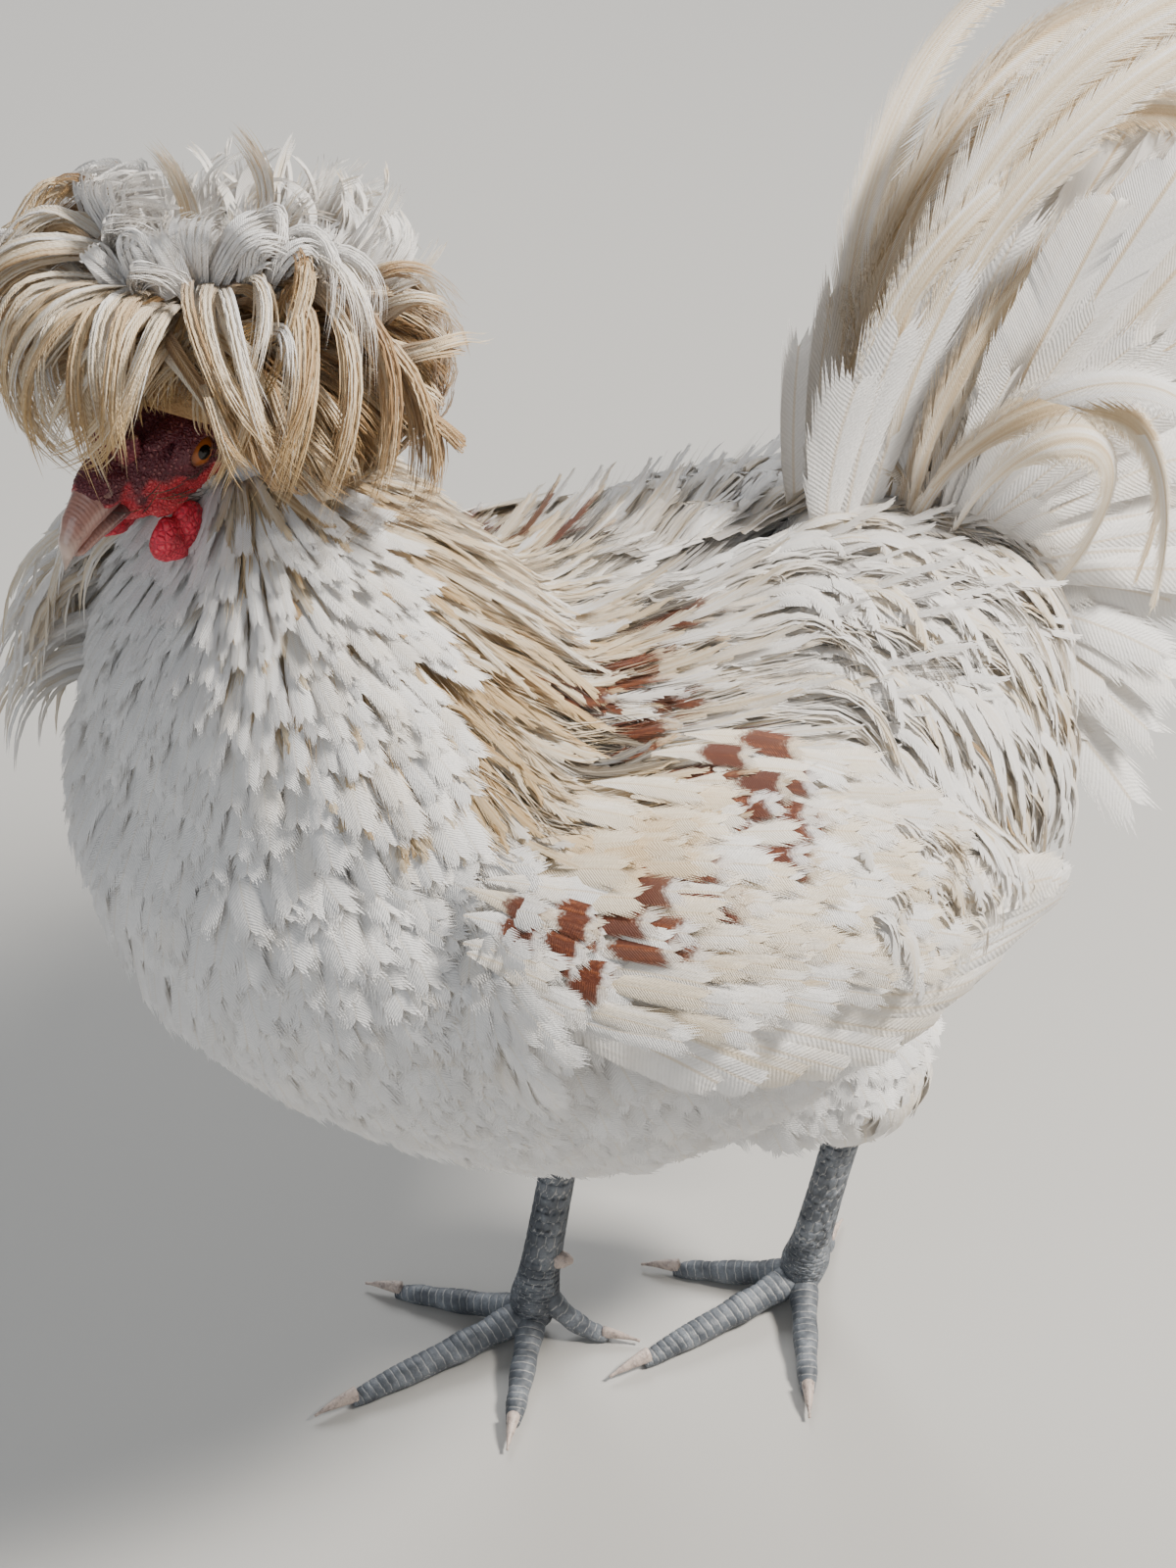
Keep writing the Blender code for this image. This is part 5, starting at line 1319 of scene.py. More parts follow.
chance = random.Random(31).uniform
mound = globe("skin_tail", MOUND_PLACE, MOUND_SIZE, 32, 12)
mound.data.materials.append(down_finish)
settle(mound, "white_plumage")
fan = Coat("tail_fan", FAN_PATTERNS)
sickles = Coat("tail_sickles", SICKLE_PATTERNS)
for side in (-1, 1):
    for index in range(2 * len(FAN) - 1):
        rise, length, lean = row_at(FAN, index / 2)
        length *= 1 if index % 2 == 0 else 0.92
        turn = radians(rise)
        way = xyz(cos(turn), 0, sin(turn))
        root = MOUND_PLACE + way * 0.018 + xyz(0, side * (0.003 + LAYER * index * 0.7), 0)
        out = xyz(0, side * lean, 0)
        arch = xyz(0, 0, length * 0.05)
        near_guide = root + way * length * 0.35 + out * 0.6 + arch
        far_guide = root + way * length * 0.7 + out + arch
        spine = curved((root, near_guide, far_guide, root + way * length + out * 1.3), 9)
        facing = mirrored(FAN_FACING, side) + xyz(0, 0, chance(-0.15, 0.15))
        marks = (chance(0.0, 0.22), chance(0.8, 1.0))
        width = FAN_WIDTH * (0.72 + 0.28 * length / 0.186)
        fan.plant(spine, [facing.normalized()] * 10, width, marks, (0.1 + 0.06 * index, 0.5 + 0.3 * side))
    for index, (broad, *guides) in enumerate(SICKLES):
        for copy in range(4):
            stray = SICKLE_STRAY * copy
            moved = []
            for point, share in zip(guides, (0.3, 0.6, 1.0, 1.2)):
                off = Vector([chance(-stray, stray) * share for _ in range(3)])
                moved.append(mirrored(Vector(point), side) + off)
            spine = curved(moved, 11)
            facing = mirrored(SICKLE_FACING, side) + xyz(0, 0, chance(-0.3, 0.3))
            marks = (chance(0.1, 0.6), chance(0.75, 1.0))
            width = SICKLE_WIDTH * broad * chance(0.75, 1.1)
            patch = (0.1 + 0.2 * index + 0.05 * copy, 0.5 + 0.3 * side)
            sickles.plant(spine, [facing.normalized()] * 12, width, marks, patch)
settle(fan.piece(tail_plume), "white_plumage", "tail")
settle(sickles.piece(sickle_plume), "white_plumage")
# Upright white blades close the tail's front.
FRONT_BLADES = ((0.062, 97, 0.066), (0.067, 90, 0.078), (0.073, 82, 0.09), (0.079, 74, 0.102))
COVERT_TIERS = ((0.03, 0.052, 16), (0.022, 0.07, 14), (0.014, 0.09, 12))
tail_coverts = Coat("tail_coverts", COVERT_PATTERNS)
for root_x, rise, length in FRONT_BLADES:
    for side in (-1, 1):
        turn = radians(rise + chance(-3, 3))
        way = xyz(cos(turn), side * 0.06, sin(turn))
        root = xyz(root_x, side * 0.006, 0.282)
        bend = xyz(0.01, side * 0.004, 0)
        near_guide, far_guide = root + way * length * 0.35, root + way * length * 0.7 + bend * 0.3
        spine = curved((root, near_guide, far_guide, root + way * length + bend), 5)
        facing = mirrored(FAN_FACING, side) + xyz(-0.3, 0, 0)
        patch = (0.3 + root_x, 0.5 + 0.2 * side)
        tail_coverts.plant(spine, [facing] * 6, FRONT_BLADE_WIDTH, (0.05, 1.0), patch)
for depth, length, number in COVERT_TIERS:
    for side, rise in scattered(chance, -50, 80, number):
        rise = radians(rise)
        way = xyz(cos(rise), side * chance(0.18, 0.32), sin(rise)).normalized()
        root = MOUND_PLACE + xyz(0, side * (MOUND_SIZE.y - 0.006), 0) + way * (0.03 - depth)
        reach = length * chance(0.85, 1.15)
        end = root + way * reach - xyz(0, 0, reach * 0.12)
        near_guide = root + way * reach * 0.35 + xyz(0, side * 0.004, 0.004)
        spine = curved((root, near_guide, root + way * reach * 0.7, end), 5)
        facing = (xyz(0.15, side, 0.3) + xyz(0, 0, chance(-0.2, 0.2))).normalized()
        marks = (chance(0.0, 0.15), chance(0.7, 1.0))
        patch = (0.5 + 0.4 * cos(rise), 0.5 + 0.4 * side * sin(rise))
        tail_coverts.plant(spine, [facing] * 6, TAIL_COVERT_WIDTH * chance(0.85, 1.15), marks, patch)
settle(tail_coverts.piece(wing_plume), "white_plumage")


# Crest: a globe of narrow ribbon-like locks that spring from the crown and curl over to fall all round,
# each streaked pale grey-white and golden brown, over a downy core.
CREST_PLACE = xyz(-0.112, 0.002, 0.4)
CREST_SIZE = xyz(0.054, 0.052, 0.036)
CREST_CORE = 0.72
LOCK_COUNT = 1000
BUNDLE_COUNT = 90
# Thin wisps that stand up from the crown, by guide points across, above and out from its middle.
WISPS = (
    ((-0.0102, 0.0168, 0.02), (-0.0083, 0.0287, 0.024), (-0.0119, 0.0382, 0.026), (-0.019, 0.045, 0.026)),
    ((0.0029, 0.0223, 0.018), (0.01, 0.0311, 0.022), (0.0076, 0.0406, 0.024), (0.0000, 0.049, 0.024)),
)
CROWN_TUFTS = 170
# The whorl from which the locks part lies ahead of the crown and a little to the left.
WHORL = xyz(-0.383, -0.3, 0.854).normalized()
# The largest curls, as seen from the bird's front left: how warm, how wide, and four guide points that
# lie across and above the crest's middle. Each is laid over the globe, and over its other side too.
ARCS = (
    # Curls that fall before the face and to its left.
    (0.6, 0.0046, -0.0307, 0.0118, -0.0488, 0.0085, -0.0523, -0.0177, -0.0321, -0.0284),
    (0.39, 0.0044, -0.0276, 0.0118, -0.0416, 0.0061, -0.044, -0.0153, -0.0328, -0.0246),
    (0.64, 0.0048, -0.0238, 0.0135, -0.0314, 0.0037, -0.0328, -0.0177, -0.0269, -0.0336),
    (0.33, 0.0044, -0.0202, 0.0125, -0.0262, 0.0037, -0.0273, -0.0153, -0.0238, -0.0272),
    (0.7, 0.0046, -0.0169, 0.0104, -0.0214, 0.0013, -0.0214, -0.0177, -0.0245, -0.0305),
    (0.46, 0.0044, -0.014, 0.0087, -0.0131, -0.001, -0.0166, -0.0153, -0.0233, -0.0253),
    # Curls to the right of the eye.
    (0.77, 0.0044, -0.0071, 0.0132, -0.0067, -0.001, 0.0, -0.0153, 0.0043, -0.0236),
    (0.52, 0.0048, -0.0048, 0.0135, -0.0059, 0.0013, -0.0012, -0.0201, 0.0164, -0.0305),
    (0.43, 0.0046, -0.0019, 0.0118, 0.0029, 0.0013, 0.0071, -0.0177, 0.0119, -0.0305),
    (0.33, 0.0044, 0.0036, 0.0142, 0.0095, 0.0108, 0.0119, -0.0034, 0.0074, -0.0132),
    (0.83, 0.003, -0.0045, -0.0141, 0.0012, -0.0177, 0.0012, -0.0276, 0.0062, -0.035),
    (0.6, 0.0046, 0.0119, 0.0132, 0.019, 0.0037, 0.019, -0.0177, 0.0119, -0.0343),
    (0.73, 0.0048, 0.015, 0.0111, 0.0226, 0.0013, 0.0214, -0.0224, 0.0088, -0.0389),
    (0.83, 0.0048, 0.019, 0.0132, 0.0321, 0.0013, 0.0309, -0.0272, 0.0166, -0.0427),
    (0.95, 0.0048, 0.0226, 0.012, 0.0404, -0.001, 0.038, -0.0296, 0.025, -0.0439),
    (0.95, 0.0048, 0.0273, 0.0085, 0.0476, -0.0082, 0.0428, -0.032, 0.0323, -0.042),
    (0.95, 0.0046, 0.0309, 0.0013, 0.0488, -0.0153, 0.0464, -0.032, 0.038, -0.0391),
    # Loops over the bill's side.
    (0.95, 0.004, -0.0231, 0.0149, -0.0309, 0.0418, -0.0404, 0.0418, -0.0473, 0.0275),
    (0.95, 0.004, -0.029, 0.0173, -0.0357, 0.0394, -0.0452, 0.0299, -0.0449, 0.0104),
    (0.89, 0.004, -0.0307, 0.018, -0.0392, 0.0299, -0.0452, 0.0251, -0.0526, 0.0004),
    (0.77, 0.004, -0.0238, 0.0156, -0.038, 0.0489, -0.0499, 0.0394, -0.0547, 0.0132),
    (0.58, 0.0044, -0.0357, 0.0132, -0.0452, 0.0204, -0.0547, 0.0132, -0.0583, -0.007),
    (0.14, 0.0044, -0.038, 0.0156, -0.0476, 0.0275, -0.0559, 0.0275, -0.0606, 0.0204),
    (0.83, 0.0044, -0.0357, 0.0061, -0.0499, 0.0085, -0.0571, 0.0013, -0.0576, -0.0106),
    # White arcs over the crown and down behind.
    (0.03, 0.004, 0.0036, 0.0173, 0.0166, 0.0275, 0.0285, 0.0156, 0.0259, -0.0018),
    (0.03, 0.0036, 0.0126, 0.0185, 0.0262, 0.0204, 0.0357, 0.0108, 0.0331, -0.0015),
    (0.06, 0.0036, 0.0, 0.0204, 0.0095, 0.0287, 0.0143, 0.0275, 0.0126, 0.0097),
    (0.18, 0.004, 0.0095, 0.0156, 0.0238, 0.0204, 0.0345, 0.0061, 0.0309, -0.0153),
    # Short upright white feathers.
    (0.0, 0.007, -0.0064, 0.0123, -0.0059, 0.0183, -0.0043, 0.0225, -0.0024, 0.0264),
    (0.0, 0.007, -0.0029, 0.0133, 0.0012, 0.0183, 0.0071, 0.0224, 0.0114, 0.0245),
    (0.0, 0.0066, -0.0012, 0.0128, 0.0048, 0.0169, 0.0107, 0.0188, 0.0152, 0.0193),
    (0.0, 0.0066, -0.009, 0.0128, -0.0105, 0.0188, -0.01, 0.0226, -0.0081, 0.0254),
    (0.0, 0.007, -0.0143, 0.0116, -0.0176, 0.0178, -0.0214, 0.0203, -0.0247, 0.0188),
    (0.05, 0.007, -0.02, 0.01, -0.0215, 0.015, -0.0205, 0.0195, -0.0185, 0.0225),
    (0.05, 0.007, -0.025, 0.009, -0.0275, 0.014, -0.029, 0.0175, -0.031, 0.0185),
    (0.05, 0.007, 0.004, 0.011, 0.006, 0.015, 0.011, 0.016, 0.016, 0.014),
    (0.05, 0.007, 0.01, 0.0105, 0.014, 0.0145, 0.019, 0.015, 0.0235, 0.012),
    (0.0, 0.007, -0.011, 0.0105, -0.012, 0.015, -0.015, 0.0185, -0.0165, 0.0215),
    # Golden tufts behind.
    (0.85, 0.0044, 0.0278, 0.0118, 0.0357, 0.0132, 0.0428, 0.0132, 0.0488, 0.0111),
    (0.75, 0.0044, 0.0345, 0.0061, 0.0404, 0.0073, 0.0452, 0.0061, 0.0488, 0.0037),
    (0.65, 0.0044, 0.0376, -0.0063, 0.044, -0.0046, 0.0488, -0.0015, 0.0535, 0.0006),
    (0.9, 0.0044, 0.0404, -0.0177, 0.0452, -0.0182, 0.048, -0.0196, 0.0504, -0.022),
)
# The fringe, seen from the bird's front left: how far across from the crest's middle, and the lowest
# that a lock may hang there. The other side is its mirror image.
FRINGE_ACROSS = xyz(0.848, -0.53, 0.0)
FRINGE_UP = xyz(0.3115, 0.4985, 0.809)
TOWARDS = FRINGE_ACROSS.cross(FRINGE_UP).normalized()
FRINGE = (
    (-0.06, -0.016), (-0.045, -0.0205), (-0.035, -0.023), (-0.024, -0.0215), (-0.01, -0.0205),
    (0.005, -0.0285), (0.019, -0.04), (0.036, -0.042), (0.045, -0.0335), (0.052, -0.018),
)
LOCK_PATTERNS = [Tress(7, 6, seed, 1.0, 0.16, 0.25) for seed in range(31, 39)]
CURL_PATTERNS = [Tress(8, 9, seed, 0.7, 0.155, 0.4) for seed in range(61, 69)]
EYE_CLEARANCE = 0.0056
CURL_STRAY = 0.0022


core = globe("skin_crest", CREST_PLACE, CREST_SIZE * CREST_CORE, 48, 24)
bpy.context.view_layer.objects.active = core
bpy.ops.object.mode_set(mode="EDIT")
bpy.ops.mesh.select_all(action="SELECT")
bpy.ops.mesh.bisect(
    plane_co=HEAD @ xyz(-0.001, 0.0, 0.0145), plane_no=HEAD.to_3x3() @ xyz(0.8, 0, 1).normalized(),
    use_fill=True, clear_inner=True,
)
bpy.ops.object.mode_set(mode="OBJECT")
# The core's down is buff to brown, and its dark brown also stands in as painted shade in the hollows between
# the locks.
roots = Finish("crest_down", 0.95)
roots_colour_and_shade = roots.mix(BUFF, BROWN, roots.noise(roots.place(), 260.0, 3.0))
core.data.materials.append(roots.dress(roots_colour_and_shade, None, roots.noise(roots.place(), 900.0, 2.0), 0.001))
settle(core, "buff_plumage")
crest_tree = tree_of(globe("guide", CREST_PLACE, CREST_SIZE, 64, 32))

crest_plume = plume_finish("crest_feather", 40.0, 2.4, 0.5, 0.18)
chance = random.Random(11).uniform
crest = Coat("feathers_crest", LOCK_PATTERNS)


def over_fringe(point):
    """How far a point is above the line below which no lock may hang."""
    own = HEAD.inverted() @ point
    if own.y > 0:
        point = HEAD @ xyz(own.x, -own.y, own.z)
    off = point - CREST_PLACE
    across = min(max(off.dot(FRINGE_ACROSS), FRINGE[0][0]), FRINGE[-1][0])
    return off.dot(FRINGE_UP) - between(FRINGE, across)[1]


eye_middle = HEAD @ mirrored(EYE_PLACE, -1) - CREST_PLACE


def clears_eye(spine):
    """Whether a lock leaves the eye in sight, as seen from the bird's front left or front right."""
    for point in spine[2:]:
        own = HEAD.inverted() @ point
        off = HEAD @ xyz(own.x, -abs(own.y), own.z) - CREST_PLACE - eye_middle
        if math.hypot(off.dot(FRINGE_ACROSS), off.dot(FRINGE_UP)) < EYE_CLEARANCE:
            return False
    return True


around_whorl = WHORL.orthogonal().normalized()


def golden_turn(index):
    """Turns that never line up."""
    return 2 * pi * (index * 0.618034 % 1.0)


def on_crest(way, share=1.0):
    return CREST_PLACE + Vector([a * b for a, b in zip(way, CREST_SIZE)]) * share


def crest_patch(turn, slant):
    return (0.5 + 0.22 * cos(turn) * slant, 0.5 + 0.22 * sin(turn) * slant)


def crest_lock(turn, slant, swirl, fall, reach, lift, curl, slack, seed):
    """One lock laid over the globe, shortened until it clears the fringe's line; nothing if too short."""
    radial = Matrix.Rotation(turn, 3, WHORL) @ around_whorl
    way = radial * sin(slant) + WHORL * cos(slant)
    start = on_crest(way)
    if over_fringe(start) < 0.006:
        return None
    onward = radial * cos(slant) - WHORL * sin(slant)
    if slant < radians(20):
        onward = Matrix.Rotation(seed * 6.28, 3, WHORL) @ around_whorl
    flow = onward - UP * fall + way.cross(onward) * swirl
    while reach > 0.014:
        lie = laid(crest_tree, start, flow, reach, 7, 0.015, lift, random.Random(seed).uniform, 0.22, curl)
        if over_fringe(lie[0][-1]) > slack and clears_eye(lie[0]):
            return lie
        reach *= 0.92
    return None


def warmth(spine):
    """White on top of the crown, golden brown below."""
    return 1 - 0.92 * smooth_step((spine[len(spine) // 2] - CREST_PLACE).dot(FRINGE_UP), 0.012, 0.024)


for index in range(LOCK_COUNT):
    turn = golden_turn(index)
    slant = radians(112 * ((index + 0.5) / LOCK_COUNT) ** 0.55)
    lie = crest_lock(
        turn, slant, chance(-0.35, 0.35), chance(0.25, 0.8), chance(0.034, 0.05),
        chance(-0.005, 0.002), chance(-0.008, 0.002), chance(-0.003, 0.002), chance(0, 1),
    )
    if lie:
        marks = (warmth(lie[0]) * chance(0.65, 1.45), chance(0.5, 0.9))
        crest.plant(*lie, chance(0.005, 0.008), marks, crest_patch(turn, slant))
settle(crest.piece(crest_plume), "buff_plumage", "crest")

curls = Coat("curls_crest", CURL_PATTERNS)
curl_plume = plume_finish("crest_curl", 40.0, 1.9, 0.75, 0.18)
# Bundles of curls all round, which leave dark hollows between them.
for bundle in range(BUNDLE_COUNT):
    turn = golden_turn(bundle)
    slant = radians(16 + 78 * (bundle + 0.5) / BUNDLE_COUNT)
    reach, swirl = chance(0.044, 0.06), chance(-0.3, 0.3)
    tone = chance(0.35, 1.05)
    for copy in range(4):
        lie = crest_lock(
            turn + chance(-0.09, 0.09), slant + chance(-0.07, 0.07), swirl, 0.55,
            reach * chance(0.85, 1.1), chance(0.003, 0.009), chance(-0.02, -0.008),
            chance(-0.003, 0.002), chance(0, 1),
        )
        if lie:
            marks = (warmth(lie[0]) * tone * chance(0.6, 1.4), chance(0.7, 1.0))
            curls.plant(*lie, chance(0.004, 0.0052), marks, crest_patch(turn, slant))


def seen(across, up, out):
    return CREST_PLACE + FRINGE_ACROSS * across + FRINGE_UP * up + TOWARDS * out


def other_side(points):
    """The same points on the other side of the head."""
    flip = HEAD @ Matrix.Diagonal((1, -1, 1, 1)) @ HEAD.inverted()
    return [flip @ point for point in points]


for tone, width, *flat in ARCS:
    guides = tuple(zip(flat[::2], flat[1::2]))
    for copy in range(4):
        spine, facings = [], []
        moved = []
        for guide, share in zip(guides, (1.2, 1.0, 1.0, 1.3)):
            stray = Vector([chance(-CURL_STRAY, CURL_STRAY) for _ in range(2)]) * share
            moved.append(Vector((*guide, 0)) + stray.to_3d())
        height = 0.0065 - 0.0016 * copy
        for step in range(9):
            share = step / 8
            flat = curve_point(moved, share)
            origin = seen(flat.x, flat.y, 0.2)
            place, normal, _, _ = crest_tree.ray_cast(origin, -TOWARDS)
            if place is None:
                place, normal, _, _ = crest_tree.find_nearest(seen(flat.x, flat.y, 0.0))
                place = place.lerp(seen(flat.x, flat.y, 0.004), 0.85)
            rise = (height + 0.004 * sin(pi * share)) * smooth_step(share, -0.1, 0.3)
            rise -= 0.006 * (1 - share) ** 4
            spine.append(place + (normal + TOWARDS).normalized() * rise)
            facings.append((normal + TOWARDS).normalized())
        inner = [(a + b * 2 + c) / 4 for a, b, c in zip(spine, spine[1:], spine[2:])]
        smooth = [spine[0], *inner, spine[-1]]
        marks = (tone * chance(0.6, 1.35), chance(0.8, 1.0))
        if not clears_eye(smooth):
            continue
        for points in (smooth, other_side(smooth)):
            out = facings
            if points is not smooth:
                out = [tip - HEAD_PLACE for tip in other_side([HEAD_PLACE + facing for facing in facings])]
            curls.plant(points, out, width * chance(0.85, 1.1), marks, (0.5, 0.5))
# Short downy white feathers over the crown, and the wisps.
for index in range(CROWN_TUFTS):
    turn = chance(0, 2 * pi)
    slant = radians(58) * math.sqrt(chance(0, 1))
    radial = Matrix.Rotation(turn, 3, UP) @ xyz(1, 0, 0)
    way = radial * sin(slant) + UP * cos(slant)
    root = on_crest(way, 0.86)
    if (root - CREST_PLACE).dot(FRINGE_UP) < 0.012:
        continue
    lean = (Vector([chance(-1, 1) for _ in range(3)]) + xyz(0.5, 0.3, 0.4) + way * 0.4).normalized()
    reach = chance(0.009, 0.017)
    guides = (root, root + way * reach * 0.45, root + way * reach * 0.5 + lean * reach * 0.5,
              root + way * reach * 0.3 + lean * reach * 0.9)
    marks = (chance(0.0, 0.22), chance(0.75, 1.0))
    curls.plant(curved(guides, 8), [way] * 9, chance(0.006, 0.009), marks, (0.5, 0.5))
for guides in WISPS:
    for copy in range(7):
        stray = Vector([chance(-0.0013, 0.0013) for _ in range(3)])
        points = [seen(*guide) + stray * share for guide, share in zip(guides, (1.0, 0.8, 1.2, 0.8))]
        marks = (chance(0.0, 0.6), 1.0)
        curls.plant(curved(points, 8), [TOWARDS] * 9, chance(0.0032, 0.005), marks, (0.5, 0.5))
settle(curls.piece(curl_plume), "buff_plumage")


# Bare face: fine crimson skin over the skull, wrinkled and pimpled, with puckered lids round each eye, a
# swollen rim over the nostrils and a soft corner to the mouth. It is drawn facing -X about the middle.
SKULL = (
    (0.026, 0.000, 0.011, 0.011, 0.012),
    (0.014, 0.001, 0.0152, 0.016, 0.0165),
    (0.000, 0.001, 0.0146, 0.0155, 0.0165),
    (-0.011, 0.000, 0.0112, 0.0115, 0.014),
    (-0.019, -0.001, 0.0076, 0.008, 0.0092),
)
SKULL_BACK = xyz(0.031, 0.0, 0.0)
SKULL_FRONT = xyz(-0.0208, 0.0, -0.001)
EYE_RADIUS = 0.0057
LID_RADIUS = 0.005
LID_THICKNESS = 0.001
LID_OUT = 0.0036
LID_TILT = 12
# Folds of each lid: how much wider, how thick beside the first and how much deeper.
LID_FOLDS = ((0.0, 1.0, 0.0), (0.0016, 0.8, -0.001), (0.0031, 0.7, -0.0024))
FACE_VOXEL = 0.00045
NOSTRIL_PLACE = xyz(-0.0238, 0.0052, 0.0038)
# Soft swellings of the face: place and half sizes, one on each side.
SWELLINGS = (
    (xyz(-0.0195, 0.0036, 0.0046), xyz(0.004, 0.003, 0.0026)),
    (xyz(-0.0095, 0.009, -0.007), xyz(0.007, 0.003, 0.0038)),
    (xyz(-0.015, 0.0066, -0.006), xyz(0.0046, 0.0024, 0.0024)),
    (xyz(-0.004, 0.0096, 0.0105), xyz(0.009, 0.0034, 0.0026)),
    (xyz(0.005, 0.0126, -0.003), xyz(0.005, 0.0026, 0.0056)),
)


def head_loft(name, sections, front, rear, sides):
    rings = [section(xyz(x, 0, z), ACROSS, UP, w, up, down, sides) for x, z, w, up, down in sections]
    return loft(name, rings, front, rear)


def pimples(point, size):
    """0 in the crease between two pimples of skin and 1 on top of one."""
    near = noise.voronoi(point / size)[0]
    return min(1.0, (near[1] - near[0]) * 1.6)


def uneven(point, fineness):
    return noise.fractal(point * fineness, 0.8, 2.0, 3)


def roughen(piece, height):
    """Moves each point of a piece out along its own normal by a height worked out from its place."""
    mesh = piece.data
    outs = [vert.normal.copy() for vert in mesh.vertices]
    for vert, out in zip(mesh.vertices, outs):
        vert.co += out * height(vert.co)


def bare_skin(name, bright, dark, pimple, tipped=False):
    """Moist red skin, darker in its creases and towards the brow, which is painted shade."""
    made = Finish(name, 0.42, Specular_IOR_Level=0.5, Subsurface_Weight=0.12, Subsurface_Scale=0.002)
    made.shader.inputs["Subsurface Radius"].default_value = (1.0, 0.25, 0.15)
    place = made.place()
    clouds = made.noise(place, 180.0, 3.0)
    fine = made.noise(place, 1400.0, 3.0, 0.6)
    cells = made.make("TexVoronoi", {"feature": "DISTANCE_TO_EDGE"}, {"Vector": place, "Scale": pimple})
    shade_and_blotch = made.attribute("crease")
    # Darker with the crease number over random clouds: painted shade on the face, random blotches on comb and
    # wattles.
    colour = made.over(bright, dark, clouds + shade_and_blotch * 0.9 - 0.2, 0.3, 0.85)
    colour = made.over(colour, (0.75, 0.34, 0.3), fine + (cells * 3.0), 1.1, 1.9, 0.3)
    # Painted shade in the creases between the pimples.
    colour = made.mix(colour, (0.1, 0.012, 0.018), (1.0 - made.smooth(cells, 0.0, 0.16)) * 0.45)
    if tipped:
        colour = made.over(colour, (0.74, 0.56, 0.34), made.attribute("tip") + fine * 0.2, 0.68, 0.95, 0.85)
    return made.dress(colour, 0.36 + fine * 0.24, made.smooth(cells, 0.0, 0.3) + fine * 0.5, 0.00025)


def crease_mask(piece, depth):
    """Writes how deep in shade each point of the skin lies, as a number for its finish."""
    hold(piece, "crease", [depth(vert.co) for vert in piece.data.vertices])


CERE = (
    (-0.015, 0.001, 0.0072, 0.008, 0.005),
    (-0.019, 0.0012, 0.0067, 0.0077, 0.0044),
    (-0.0225, 0.0014, 0.0064, 0.0074, 0.0034),
    (-0.0255, 0.0012, 0.0056, 0.0066, 0.0018),
    (-0.0276, 0.0014, 0.004, 0.0048, 0.0006),
)
parts = [head_loft("skull", smooth_rows(SKULL, 3), SKULL_BACK, SKULL_FRONT, 48)]
parts.append(head_loft("cere", smooth_rows(CERE, 2), xyz(-0.013, 0, 0.001), xyz(-0.028, 0, 0.003), 40))
for side in (-1, 1):
    for place, size in SWELLINGS:
        parts.append(globe("swelling", mirrored(place, side), size, 24, 16))
    for radius, thick, out in LID_FOLDS:
        bpy.ops.object.select_all(action="DESELECT")
        bpy.ops.mesh.primitive_torus_add(
            major_radius=LID_RADIUS + radius, minor_radius=LID_THICKNESS * thick,
            major_segments=48, minor_segments=12,
        )
        lid = bpy.context.object
        tilt = Matrix.Rotation(radians(90 - LID_TILT * side), 4, "X")
        squash = Matrix.Diagonal((1.0, 1.0, 0.88, 1.0))
        eye = mirrored(EYE_PLACE, side) + xyz(0, (LID_OUT + out) * side, 0)
        lid.data.transform(Matrix.Translation(eye) @ squash @ tilt)
        parts.append(lid)
face = melted("skin_face", parts, FACE_VOXEL, 3)


def face_height(point):
    eye = mirrored(EYE_PLACE, 1 if point.y > 0 else -1)
    off = (xyz(point.x, point.y * 0.6, point.z) - xyz(eye.x, eye.y * 0.6, eye.z)).length
    rings = sin(off * 5200) * 0.0001 * smooth_step(off, 0.0045, 0.007) * (1 - smooth_step(off, 0.009, 0.013))
    wrinkle = uneven(point + xyz(0, 0, point.x * 200 / 420), 420) * 0.00022
    slit = (xyz(point.x, abs(point.y), point.z) - NOSTRIL_PLACE) * 1000
    hole = math.exp(-((slit.x / 2.1) ** 2 + (slit.z / 0.75) ** 2)) * smooth_step(abs(point.y), 0.0035, 0.005)
    return pimples(point, 0.0012) * 0.00026 - 0.00013 + wrinkle + rings - 0.0007 * hole


# Painted shade on the face: darker towards the brow, round and behind the eyes and in the nostrils, with
# random blotches.
def face_shade(point):
    brow = smooth_step(point.z + point.x * 0.2 + 0.007 * noise.noise(point * 170), -0.008, 0.002)
    rim = 1 - smooth_step((xyz(point.x, abs(point.y), point.z) - EYE_PLACE).length, 0.0062, 0.009)
    behind = smooth_step(point.x, 0.0005, 0.005)
    slit = (xyz(point.x, abs(point.y), point.z) - NOSTRIL_PLACE).length
    blotch = 0.25 * noise.noise(point * 300)
    return min(1.0, 0.85 * brow + 0.6 * rim + 0.7 * behind + (1 - smooth_step(slit, 0.001, 0.003)) + blotch)


roughen(face, face_height)
crease_mask(face, face_shade)
CRIMSON = (0.6, 0.026, 0.042)
DARK_CRIMSON = (0.105, 0.012, 0.022)
finished(face, bare_skin("face_skin", CRIMSON, DARK_CRIMSON, 900.0), "red_skin", "head")


# Eyes: wet balls deep in the lids, with a round black pupil, an orange-brown iris that darkens outwards,
# all smooth and glossy.
PUPIL = 0.0019
IRIS = 0.0043

